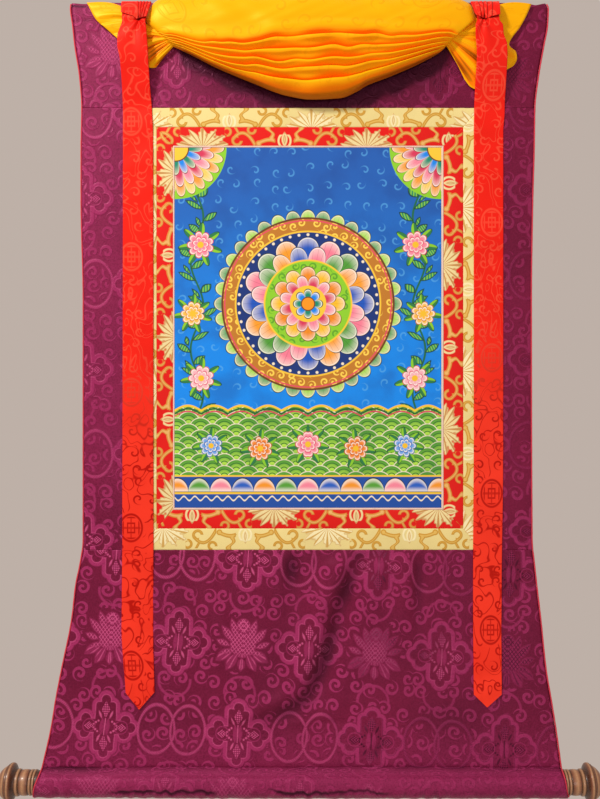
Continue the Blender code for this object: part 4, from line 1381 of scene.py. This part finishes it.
def edge_cord(name, index, inward, look, node):
    """Rounded piping along one side edge and round the end of the casing."""
    drops = np.concatenate([np.linspace(2.5, TOP_SEAM, 40), np.linspace(TOP_SEAM, CASING_SEAM, 190)[1:]])
    share, roll_drop, roll_depth, _ = casing_rows(CORD_STEPS)
    edge = np.concatenate([curve(OUTLINE, drops, index), curve(ROLL_EDGES, share, index)])
    middle = edge + inward * EDGE_PIPING_WIDE / 2
    drop = np.concatenate([drops, roll_drop])
    depth = np.concatenate([cloth_depth(middle[: len(drops)], drops), roll_depth])
    run = np.vstack([middle, drop, depth]).T
    ahead = np.gradient(run, axis=0)
    ahead /= np.linalg.norm(ahead, axis=1)[:, None]
    across = np.tile([1.0, 0.0, 0.0], (len(run), 1))
    across -= ahead * np.sum(ahead * across, axis=1)[:, None]
    across /= np.linalg.norm(across, axis=1)[:, None]
    outward = np.cross(ahead, across)
    length = np.concatenate([[0], np.cumsum(np.linalg.norm(np.diff(run, axis=0), axis=1))])

    def place(i, j):
        """A point round the cord's side i at its station j."""
        turn = 2 * math.pi * i / CORD_SIDES
        wobble = 1 + 0.08 * math.sin(length[j] * 0.9)
        return point(*(run[j] + (across[j] * math.cos(turn) * 1.02 + outward[j] * math.sin(turn) * 0.95) * wobble))

    mesh_data = grid_mesh(CORD_SIDES, len(run) - 1, place, lambda i, j: (i * 0.62 * MM, length[j] * MM))
    bmesh.ops.remove_doubles(mesh_data, verts=mesh_data.verts, dist=1e-6)
    bmesh.ops.holes_fill(mesh_data, edges=mesh_data.edges, sides=0)
    bmesh.ops.recalc_face_normals(mesh_data, faces=mesh_data.faces)
    return add_piece(name, mesh_data, look, [node])


def make_edge_piping():
    """The rose piping down both side edges."""
    look = twill("rose piping", palette("rose_piping"))
    edge_cord("edge_piping_left_cord", 1, 1, look, "edge_piping_left")
    edge_cord("edge_piping_right_cord", 2, -1, look, "edge_piping_right")


def border_strip(name, side, outer, inner, look, node, crown, thick, round_edge, shift, close):
    """One mitred strip between two boxes of left, right, top and bottom. Returns it with its flat size and area."""
    level = side in ("top", "bottom")
    index = ("left", "right", "top", "bottom").index(side)
    first, last = (0, 1) if level else (2, 3)
    wide = abs(inner[index] - outer[index])
    share = (spaced(0, wide, 2.2, close) / wide)[:, None]
    start = outer[first] + (inner[first] - outer[first]) * share
    end = outer[last] + (inner[last] - outer[last]) * share
    length = abs(outer[last] - outer[first])
    along = start + (end - start) * (spaced(0, length, 4.5) / length)[None, :]
    share = share + 0 * along
    set_across = outer[index] + (inner[index] - outer[index]) * share
    x, drop = (along, set_across) if level else (set_across, along)
    distance = np.minimum(share * wide, (1 - share) * wide)
    mitre = np.minimum(along - start, end - along) * 0.7071
    rise = crown * np.sin(math.pi * share) ** 0.6
    puckers = seam_puckers(along, distance, 4.0, 14, index * 1.3) * min(1, wide / 10)
    depth = cloth_depth(x, drop) + rise + puckers
    depth = depth + 0.25 * uneven(along, 160, index + 0.5)
    depth = depth - fall(distance, round_edge) - fall(mitre, round_edge)
    grids = (x, drop, depth, along, share)
    if not level:
        grids = [grid.T for grid in grids]
    if side == "left":
        grids = [grid[:, ::-1] for grid in grids]
    *place, along, share = grids
    pattern = (along - (outer[first] + outer[last]) / 2 + shift, (share - 0.5) * wide)
    piece = cloth(name, place, pattern, thick, look, [node])
    return piece, (wide * MM, length * MM), wide * (length - wide) * MM * MM


def make_borders():
    """The gold border, the red border inside it and the narrow piping round the picture."""
    gold = brocade(
        "gold brocade", palette("gold_ground"), palette("gold_figure"), linear("e8c56e"), linear("f9eebc"),
        linear("c9983a"),
    )
    red = brocade(
        "red brocade", palette("red_ground"), palette("red_scroll"), linear("eec07a"), palette("red_flower"),
        linear("bd7f3e"),
    )
    cream = twill("cream piping", palette("cream_piping"), 0.65)
    borders = (("gold", GOLD_BOX, RED_BOX, gold, GOLD_SHIFTS), ("red", RED_BOX, PIPING_BOX, red, RED_SHIFTS))
    for side in SIDES:
        for kind, outer, inner, look, shifts in borders:
            piece, flat, area = border_strip(
                f"{kind}_{side}_brocade", side, outer, inner, look, f"{kind}_{side}",
                sizes().crown / MM, sizes().brocade, 1.2, shifts[side] * PIXEL, EDGE_ROWS,
            )
        border_strip(
            f"picture_piping_{side}_welt", side, PIPING_BOX, PAINTING_BOX, cream,
            f"picture_piping_{side}", 0.9, 0.0007, 0.9, 0.0, WELT_ROWS,
        )


def make_painting():
    """The painted canvas, in three materials by height and bare behind."""
    left, right, top, bottom = PAINTING_BOX
    x, drop = spaced(left, right, 5.0)[None, :], spaced(top, bottom, 5.0)[:, None]
    middle_x, middle_drop = (left + right) / 2, (top + bottom) / 2
    edge = np.minimum(np.minimum(x - left, right - x), np.minimum(drop - top, bottom - drop))
    depth = cloth_depth(x, drop) + 0.45 * uneven(x + 0.3 * drop, 150, 0.4) * ease(edge / 40)
    depth = depth + 0.3 * uneven(drop - 0.2 * x, 120, 2.2) * ease(edge / 40) - fall(edge, 1.1)
    designs = (("upper canvas", corner_fans), ("middle canvas", rosette), ("lower canvas", scales_and_petals))
    looks = [painted_canvas(name, design) for name, design in designs]
    piece = cloth(
        "painting_canvas", (x, drop, depth), (x - middle_x, drop - middle_drop), sizes().canvas, looks[0],
        ["painting"],
    )
    for look in looks[1:] + [bare_canvas("bare canvas")]:
        piece.data.materials.append(look)
    piece.modifiers["cloth thickness"].material_offset = len(looks)
    for face in piece.data.polygons:
        below = -face.center.z / MM - middle_drop
        face.material_index = sum(below > split for split in PAINT_SPLITS)


def ribbon(name, rows, tip, stitch, flap, fold_lines, weave_at, look, node):
    """A ribbon whose end is folded over in front as a short flap, caught by a stitch at the flap's lower edge.
    flap is the share across and the drop of that edge, and weave_at shifts the weave aside and down."""
    shoulder, left_end, right_end = rows[-1]
    share = (spaced(0, RIBBON_WIDE, 1.0, RIBBON_EDGE_ROWS) / RIBBON_WIDE)[None, :]
    drops = np.concatenate([np.arange(4.2, 70, 1.1), np.arange(70, 160, 2.5), np.linspace(160, shoulder, 150)])
    drop = drops[:, None] + 0 * share
    flap_edge = curve(flap, share)
    up = column([0, 0.03, 0.08, 0.16, 0.26, 0.36, 0.46, 0.56, 0.66, 0.76, 0.86, 0.94, 1.0])
    over_drop = column([4.0, 3.6, 3.6, 4.0]) + 0 * share
    drop = np.vstack([flap_edge + (4.6 - flap_edge) * up, over_drop, drop])
    layer = column(np.full(len(up), 2.6), [2.1, 1.5, 0.8, 0.2], np.zeros(len(drops)))
    in_flap = column(np.ones(len(up)), [1, 0.8, 0.3, 0], np.zeros(len(drops)))
    left, right = curve(rows, drop), curve(rows, drop, 2)
    spread_out = 0.8 * in_flap * ease((drop - 5) / 12)
    left, right = left - spread_out, right + spread_out
    x = left + (right - left) * share
    end_x = left_end + (right_end - left_end) * share
    from_left, from_right = (end_x - left_end) / (tip[0] - left_end), (right_end - end_x) / (right_end - tip[0])
    run = np.where(end_x < tip[0], from_left, from_right)
    steps = (0.12, 0.3, 0.5, 0.7, 0.85, 0.94, 0.98, 1.0)
    x = np.vstack([x] + [end_x] * len(steps))
    drop = np.vstack([drop] + [shoulder + 0.6 + (tip[1] - shoulder - 0.6) * run * step for step in steps])
    at_tip = np.zeros((len(steps), 1))
    layer, in_flap = np.vstack([layer, at_tip]), np.vstack([in_flap, at_tip])
    depth = cloth_depth(x, drop) + curve(RIBBON_LIFT, drop) + layer
    away_x, away_y = x - stitch[0], drop - stitch[1]
    radius = np.hypot(away_x, away_y)
    angle = np.arctan2(away_x, away_y)
    spread = np.exp(-radius / 26) * np.clip(radius / 6, 0, 1) * (1 - in_flap)
    rays = np.sin(angle * 6.5 + 0.7 * np.sin(angle * 2.3))
    depth = depth + 2.3 * spread * rays
    depth = depth - 3.0 * bump_at(radius, 5.0) - 1.2 * (1 - in_flap) * ease((30 - drop) / 10)
    # Painted shade: a dark spot at the stitch, shade in the creases spreading from it, under the flap's lower edge
    # and beside the flap's fold lines
    shade = 0.75 * bump_at(radius, 2.4) + 0.3 * spread * np.clip(-rays, 0, 1)
    shade = shade + 0.5 * (1 - in_flap) * np.clip(1 - (drop - flap_edge) / 3.5, 0, 1) * (drop > flap_edge - 1)
    for fold_x, lean, strength in fold_lines:
        line = x - fold_x - lean * (drop - 3)
        depth = depth + strength * (bump_at(line, 1.2) - 0.8 * bump_at(line - 1.9, 1.1)) * in_flap
        shade = shade + 0.75 * bump_at(line - 1.9, 0.9) * in_flap
    loose = ease((drop - 160) / 100)
    depth = depth + 0.5 * loose * uneven(drop, 170, stitch[0] * 0.01) * (share - 0.3)
    depth = depth + 0.35 * np.sin(math.pi * share) * loose
    depth = depth + 0.45 * uneven(drop + 0.5 * x, 58, 0.9 + stitch[0]) * ease((drop - 40) / 60)
    depth = depth - fall(np.minimum(share, 1 - share) * RIBBON_WIDE, 0.9)
    depth = depth + 0.4 * uneven(x, 15, 0.2) * bump_at(drop - shoulder, 30)
    pattern = ((share - 0.5) * RIBBON_WIDE + weave_at[0], np.where(in_flap > 0.5, 3 - drop, drop - 3) + weave_at[1])
    return cloth(
        name, (x, drop, depth), pattern, sizes().ribbon, look, [node], np.clip(shade, 0, 1)
    )


def make_ribbons():
    """The two red ribbons, which hang over the cover."""
    look = ribbon_silk("ribbon silk")
    left = ribbon(
        "ribbon_left_silk", RIBBON_LEFT, RIBBON_LEFT_POINT, RIBBON_LEFT_STITCH, RIBBON_LEFT_FLAP,
        RIBBON_LEFT_FOLDS, RIBBON_LEFT_WEAVE, look, "ribbon_left",
    )
    right = ribbon(
        "ribbon_right_silk", RIBBON_RIGHT, RIBBON_RIGHT_POINT, RIBBON_RIGHT_STITCH, RIBBON_RIGHT_FLAP,
        RIBBON_RIGHT_FOLDS, RIBBON_RIGHT_WEAVE, look, "ribbon_right",
    )


def pleat_knots(across):
    """Share of height, how far forward and how much shade is painted, at the knots down the cover's section, for
    each place across."""
    wander = [0.010 * uneven(across, 0.11 + 0.02 * number, 0.6 + number * 1.7) for number in range(5)]
    open_middle = np.sin(math.pi * across) ** 0.8
    crests = [curve(CRESTS, across, column + 1) + wander[column] * open_middle for column in range(5)]
    level = np.zeros_like(across)
    shares = [0.05 + level, level, 0.06 + level, 0.13 + level]
    pushes = [level, level, level, level]
    tones = [level, level, level, level]
    first = crests[0]
    puff = np.maximum(first - 0.105, first * 0.6)
    shares += [0.16 + (puff - 0.16) * 0.35, 0.16 + (puff - 0.16) * 0.7, puff]
    pushes += [0.05 + level, level, 0.35 + level]
    tones += [level, 0.1 + level, level]
    last = puff
    for number, crest in enumerate(crests):
        gap = crest - last
        below = crests[number + 1] - crest if number < 4 else 1 - crest
        strong = np.clip(0.85 + 0.3 * uneven(across, 0.23, number * 2.1), 0.4, 1.2)
        # Painted shade: how dark the crease above each crest is painted
        crease_shade = np.clip(0.35 + 0.9 * uneven(across, 0.31, 1.1 + number * 1.3), 0.0, 1.0)
        shares += [crest - gap * part for part in (0.5, 0.26, 0.09, 0.02)]
        shares += [crest + below * 0.13, crest + below * 0.3]
        pushes += [push * strong for push in (0.35, -0.15, -0.8, 0.1, 0.9, 0.85)]
        # Painted shade deepening down each pleat towards its crease
        tones += [0.46 * strong, 0.56 * strong, 0.62 + 0.38 * crease_shade * open_middle, 0.2 + level, level, 0.3 + level]
        last = crest
    tail = crests[-1]
    shares += [tail + (1 - tail) * 0.7, 0.985 + level, 1.0 + level, 0.985 + level, 0.95 + level]
    pushes += [0.5 + level, 0.2 + level, level, -0.3 + level, -0.6 + level]
    # Painted shade on the belly, darker towards the right
    belly_shade = 0.12 * ease((across - 0.5) / 0.25)
    tones += [0.6 + belly_shade, 0.8 + belly_shade, 0.88 + level, 0.88 + level, 0.88 + level]
    return np.array(shares), np.array(pushes), np.array(tones)


def make_cover():
    """One silk sheet: left corner and tail, left pinch, swag, right pinch, right tail and corner."""
    fan, swag, rows = FAN_COLUMNS, SWAG_COLUMNS, COVER_ROWS
    across = np.concatenate([np.zeros(fan), np.linspace(0, 1, swag + 1), np.ones(fan)])
    side = np.concatenate([-np.ones(fan), np.zeros(swag + 1), np.ones(fan)])
    outward = np.linspace(0, 1, fan + 1)[1:]
    beyond = np.concatenate([np.linspace(1, 0, fan, endpoint=False), np.zeros(swag + 1), outward])
    knots, pushes, tones = pleat_knots(across)
    spots = np.linspace(0, len(knots) - 1, rows + 1)
    share, push, fold = through(knots, spots), through(pushes, spots), through(tones, spots)
    down = (spots / spots[-1])[:, None]
    upper_x, upper_y = curve(SWAG_TOP, across), curve(SWAG_TOP, across, 2)
    lower_x, lower_y = curve(SWAG_BOTTOM, across), curve(SWAG_BOTTOM, across, 2)
    x = upper_x + (lower_x - upper_x) * share
    drop = upper_y + (lower_y - upper_y) * share
    open_share = np.sin(math.pi * across) ** 0.46
    middle_depth, pinch_depth = curve(COVER_DEPTH, share), curve(COVER_DEPTH, share, 2)
    edge_depth = curve(COVER_DEPTH, share, 3)
    tuck = ease(1 - spots / 1.6)[:, None]
    depth = pinch_depth + (middle_depth - pinch_depth) * open_share
    depth = depth * (1 - tuck) + 6.9 * tuck
    near_pinch = ease(np.minimum(across, 1 - across) / 0.07)
    pleat = sizes().pleat / MM * (0.12 + (0.18 + 0.70 * np.sin(math.pi * across) ** 0.5) * near_pinch)
    depth = depth + push * pleat * (1 - tuck)
    turned_in = ease((spots - (len(knots) - 4)) / 3)[:, None]
    depth = depth - 7.0 * turned_in * open_share
    puffed = ease((share - 0.02) / 0.1) * ease((0.5 - share) / 0.2) * open_share
    depth = depth + puffed * (1.8 * uneven(x + 0.6 * drop, 120, 0.4) + 1.0 * uneven(x - 1.1 * drop, 74, 1.2))
    depth = depth + 0.5 * puffed * uneven(x + 2.2 * drop, 38, 2.0)
    at_end = np.minimum(across, 1 - across)
    near = np.exp(-at_end / 0.07) * (side == 0) * np.clip(at_end / 0.02, 0, 1)
    depth = depth + near * 0.8 * np.sin(down * 70 + 2.0 * np.sin(down * 21))
    # Painted shade, weaker near the pinches
    fold = fold * (0.35 + 0.65 * near_pinch) * (side == 0) + 0 * x
    for which, rows_free in ((-1, FAN_LEFT), (1, FAN_RIGHT)):
        free_x, free_y = curve(rows_free, down), curve(rows_free, down, 2)
        here = (side == which)[None, :]
        bow = FAN_BOW * (1 - down) ** 2 * np.sin(math.pi * beyond)
        out = beyond[None, :]
        fan_x = x + (free_x - x) * out
        fan_drop = drop + (free_y - drop) * out - bow
        fan_depth = depth + (edge_depth + push - depth) * out
        broad = 1.0 if which < 0 else 0.45
        fine = np.sin(down * 88 + 2.6 * np.sin(down * 17 + which)) * np.exp(-out / 0.5)
        radial = np.sin(down * 52 + 2.2 * np.sin(down * 13 + which)) * 0.5 * broad + np.sin(down * 25 + which) * 0.6
        radial = radial + 0.55 * fine * broad
        fan_depth = fan_depth + radial * 1.9 * np.sin(math.pi * out) ** 0.6
        # Painted shade in the pleats of the fans
        fan_painted_shade = np.clip(0.5 - 0.95 * radial, 0, 0.95) * np.sin(math.pi * out) ** 0.5 * ease((down - 0.3) / 0.25)
        x, drop = np.where(here, fan_x, x), np.where(here, fan_drop, drop)
        depth, fold = np.where(here, fan_depth, depth), np.where(here, fan_painted_shade, fold)
    depth = np.maximum(depth, cloth_depth(x, drop) + 2.0)
    centre = fan + swag // 2
    steps = np.hypot(np.diff(drop[:, centre]), np.diff(depth[:, centre]))
    run = np.concatenate([[0], np.cumsum(steps)])[:, None]
    middle_row = rows // 2
    aside = np.concatenate([[0], np.cumsum(np.hypot(np.diff(x[middle_row]), np.diff(drop[middle_row])))])[None, :]
    aside = aside - aside[0, centre]
    look = cover_silk("cover silk")
    piece = cloth(
        "cover_silk_swag", (x, drop, depth), (aside, run), sizes().silk, look, ["cover"],
        np.clip(fold, 0, 1),
    )


def knob(name, side, look, node):
    """A turned knob, bored to fit over the rod's tenon. side is -1 for the left and 1 for the right."""
    mesh_data = bmesh.new()
    bore, deep = TENON_RADIUS + GAP, TENON_LONG + GAP
    rows = [(deep, 0), (deep, bore), (0, bore)] + KNOB_PROFILE + [(67.2, 0)]
    verts = [mesh_data.verts.new((distance * MM, 0, radius * MM)) for distance, radius in rows]
    edges = [mesh_data.edges.new(pair) for pair in zip(verts, verts[1:])]
    bmesh.ops.spin(
        mesh_data, geom=verts + edges, cent=(0, 0, 0), axis=(1, 0, 0), angle=2 * math.pi, steps=KNOB_STEPS,
        use_merge=True,
    )
    bmesh.ops.remove_doubles(mesh_data, verts=mesh_data.verts, dist=1e-6)
    bmesh.ops.recalc_face_normals(mesh_data, faces=mesh_data.faces)
    place = Matrix.Translation(point(ROD_CENTRE_X + side * (ROD_HALF + GAP), ROD_DROP, ROLL_DEPTH))
    turn = Matrix.Rotation(math.pi if side < 0 else 0, 4, "Z")
    bmesh.ops.transform(mesh_data, matrix=place @ turn, verts=mesh_data.verts)
    return add_piece(name, mesh_data, look, [node], sharp_deg=40)


def make_rod_and_knobs():
    """The turned knobs, and the rod's finish."""
    look = old_wood("knob wood", True, palette("knob_brown"), linear("33180c"), linear("c8946a"))
    knob("finial_left_turned", -1, look, "finial_left")
    knob("finial_right_turned", 1, look, "finial_right")
    plain = old_wood("rod wood", False, linear("8a6238"), linear("5b3a1e"), linear("b08a5c"))
    for material_slot in frame["nodes"]["rod"].material_slots:
        material_slot.material = plain


def make_stage():
    """The plain floor, sky, lamps and camera."""
    mesh_data = bmesh.new()
    bmesh.ops.create_grid(mesh_data, x_segments=1, y_segments=1, size=FLOOR_HALF)
    bmesh.ops.translate(mesh_data, vec=(0, 0, FLOOR_HEIGHT), verts=mesh_data.verts)
    add_mesh("floor", mesh_data, pale_floor("pale floor"))
    scene = bpy.context.scene
    world = bpy.data.worlds.new("studio")
    world.use_nodes = True
    background = world.node_tree.nodes["Background"]
    background.inputs["Color"].default_value = SKY_TONE
    background.inputs["Strength"].default_value = SKY_STRENGTH
    scene.world = world
    for name, place, target, size, power, tone in LAMPS:
        data = bpy.data.lights.new(name, "AREA")
        data.size, data.energy, data.color = size, power, tone
        light = bpy.data.objects.new(name, data)
        light.location = place
        light.rotation_euler = (Vector(target) - Vector(place)).to_track_quat("-Z", "Y").to_euler()
        scene.collection.objects.link(light)
    camera_data = bpy.data.cameras.new("camera")
    camera_data.sensor_width, camera_data.lens, camera_data.clip_start = CAMERA_SENSOR, CAMERA_LENS, 0.01
    camera = bpy.data.objects.new("camera", camera_data)
    camera.location = CAMERA_PLACE
    camera.rotation_euler = (math.pi / 2, 0, 0)
    scene.collection.objects.link(camera)
    scene.camera = camera
    scene.view_settings.view_transform = "Standard"


class SCROLL_OT_ground(bpy.types.Operator):
    """Make the four damask panels with their hems"""

    bl_idname = "scroll.ground"
    bl_label = "Damask Ground"

    def execute(self, context):
        make_ground()
        return {"FINISHED"}


class SCROLL_OT_edge_piping(bpy.types.Operator):
    """Make the rose piping down both side edges"""

    bl_idname = "scroll.edge_piping"
    bl_label = "Edge Piping"

    def execute(self, context):
        make_edge_piping()
        return {"FINISHED"}


class SCROLL_OT_borders(bpy.types.Operator):
    """Make the gold and red borders and the cream piping"""

    bl_idname = "scroll.borders"
    bl_label = "Brocade Borders"

    def execute(self, context):
        make_borders()
        return {"FINISHED"}


class SCROLL_OT_painting(bpy.types.Operator):
    """Make the painted canvas"""

    bl_idname = "scroll.painting"
    bl_label = "Painted Canvas"

    def execute(self, context):
        make_painting()
        return {"FINISHED"}


class SCROLL_OT_cover(bpy.types.Operator):
    """Make the gathered silk cover"""

    bl_idname = "scroll.cover"
    bl_label = "Silk Cover"

    def execute(self, context):
        make_cover()
        return {"FINISHED"}


class SCROLL_OT_ribbons(bpy.types.Operator):
    """Make the two red ribbons"""

    bl_idname = "scroll.ribbons"
    bl_label = "Ribbons"

    def execute(self, context):
        make_ribbons()
        return {"FINISHED"}


class SCROLL_OT_rod_and_knobs(bpy.types.Operator):
    """Make the turned knobs and give the rod its finish"""

    bl_idname = "scroll.rod_and_knobs"
    bl_label = "Rod and Knobs"

    def execute(self, context):
        make_rod_and_knobs()
        return {"FINISHED"}


class SCROLL_OT_stage(bpy.types.Operator):
    """Make the floor, the lights and the camera"""

    bl_idname = "scroll.stage"
    bl_label = "Stage"

    def execute(self, context):
        make_stage()
        return {"FINISHED"}


OPERATORS = [
    SCROLL_OT_ground,
    SCROLL_OT_edge_piping,
    SCROLL_OT_borders,
    SCROLL_OT_painting,
    SCROLL_OT_cover,
    SCROLL_OT_ribbons,
    SCROLL_OT_rod_and_knobs,
    SCROLL_OT_stage,
]


class SCROLL_PT_panel(bpy.types.Panel):
    """Lists the scroll's sizes, colours and pieces"""

    bl_idname = "SCROLL_PT_panel"
    bl_label = "Thangka Scroll"
    bl_space_type = "VIEW_3D"
    bl_region_type = "UI"
    bl_category = "Scroll"

    def draw(self, context):
        for group in (context.scene.scroll_sizes, context.scene.scroll_colours):
            box = self.layout.box()
            for key in group.__annotations__:
                box.prop(group, key)
        for made in OPERATORS:
            self.layout.operator(made.bl_idname)


CLASSES = [ScrollSizes, ScrollColours, *OPERATORS, SCROLL_PT_panel]


def register():
    """Registers the classes and the two groups."""
    for made in CLASSES:
        bpy.utils.register_class(made)
    bpy.types.Scene.scroll_sizes = PointerProperty(type=ScrollSizes)
    bpy.types.Scene.scroll_colours = PointerProperty(type=ScrollColours)


def unregister():
    """Takes back what register did."""
    del bpy.types.Scene.scroll_colours
    del bpy.types.Scene.scroll_sizes
    for made in reversed(CLASSES):
        bpy.utils.unregister_class(made)


def main():
    """Makes every piece through its operator."""
    register()
    for old in list(bpy.data.objects):
        if old.type in ("LIGHT", "CAMERA") or old.name == "Cube":
            bpy.data.objects.remove(old, do_unlink=True)
    for made in OPERATORS:
        getattr(bpy.ops.scroll, made.bl_idname.split(".")[1])()
    bpy.context.view_layer.update()


if __name__ == "__main__":
    main()
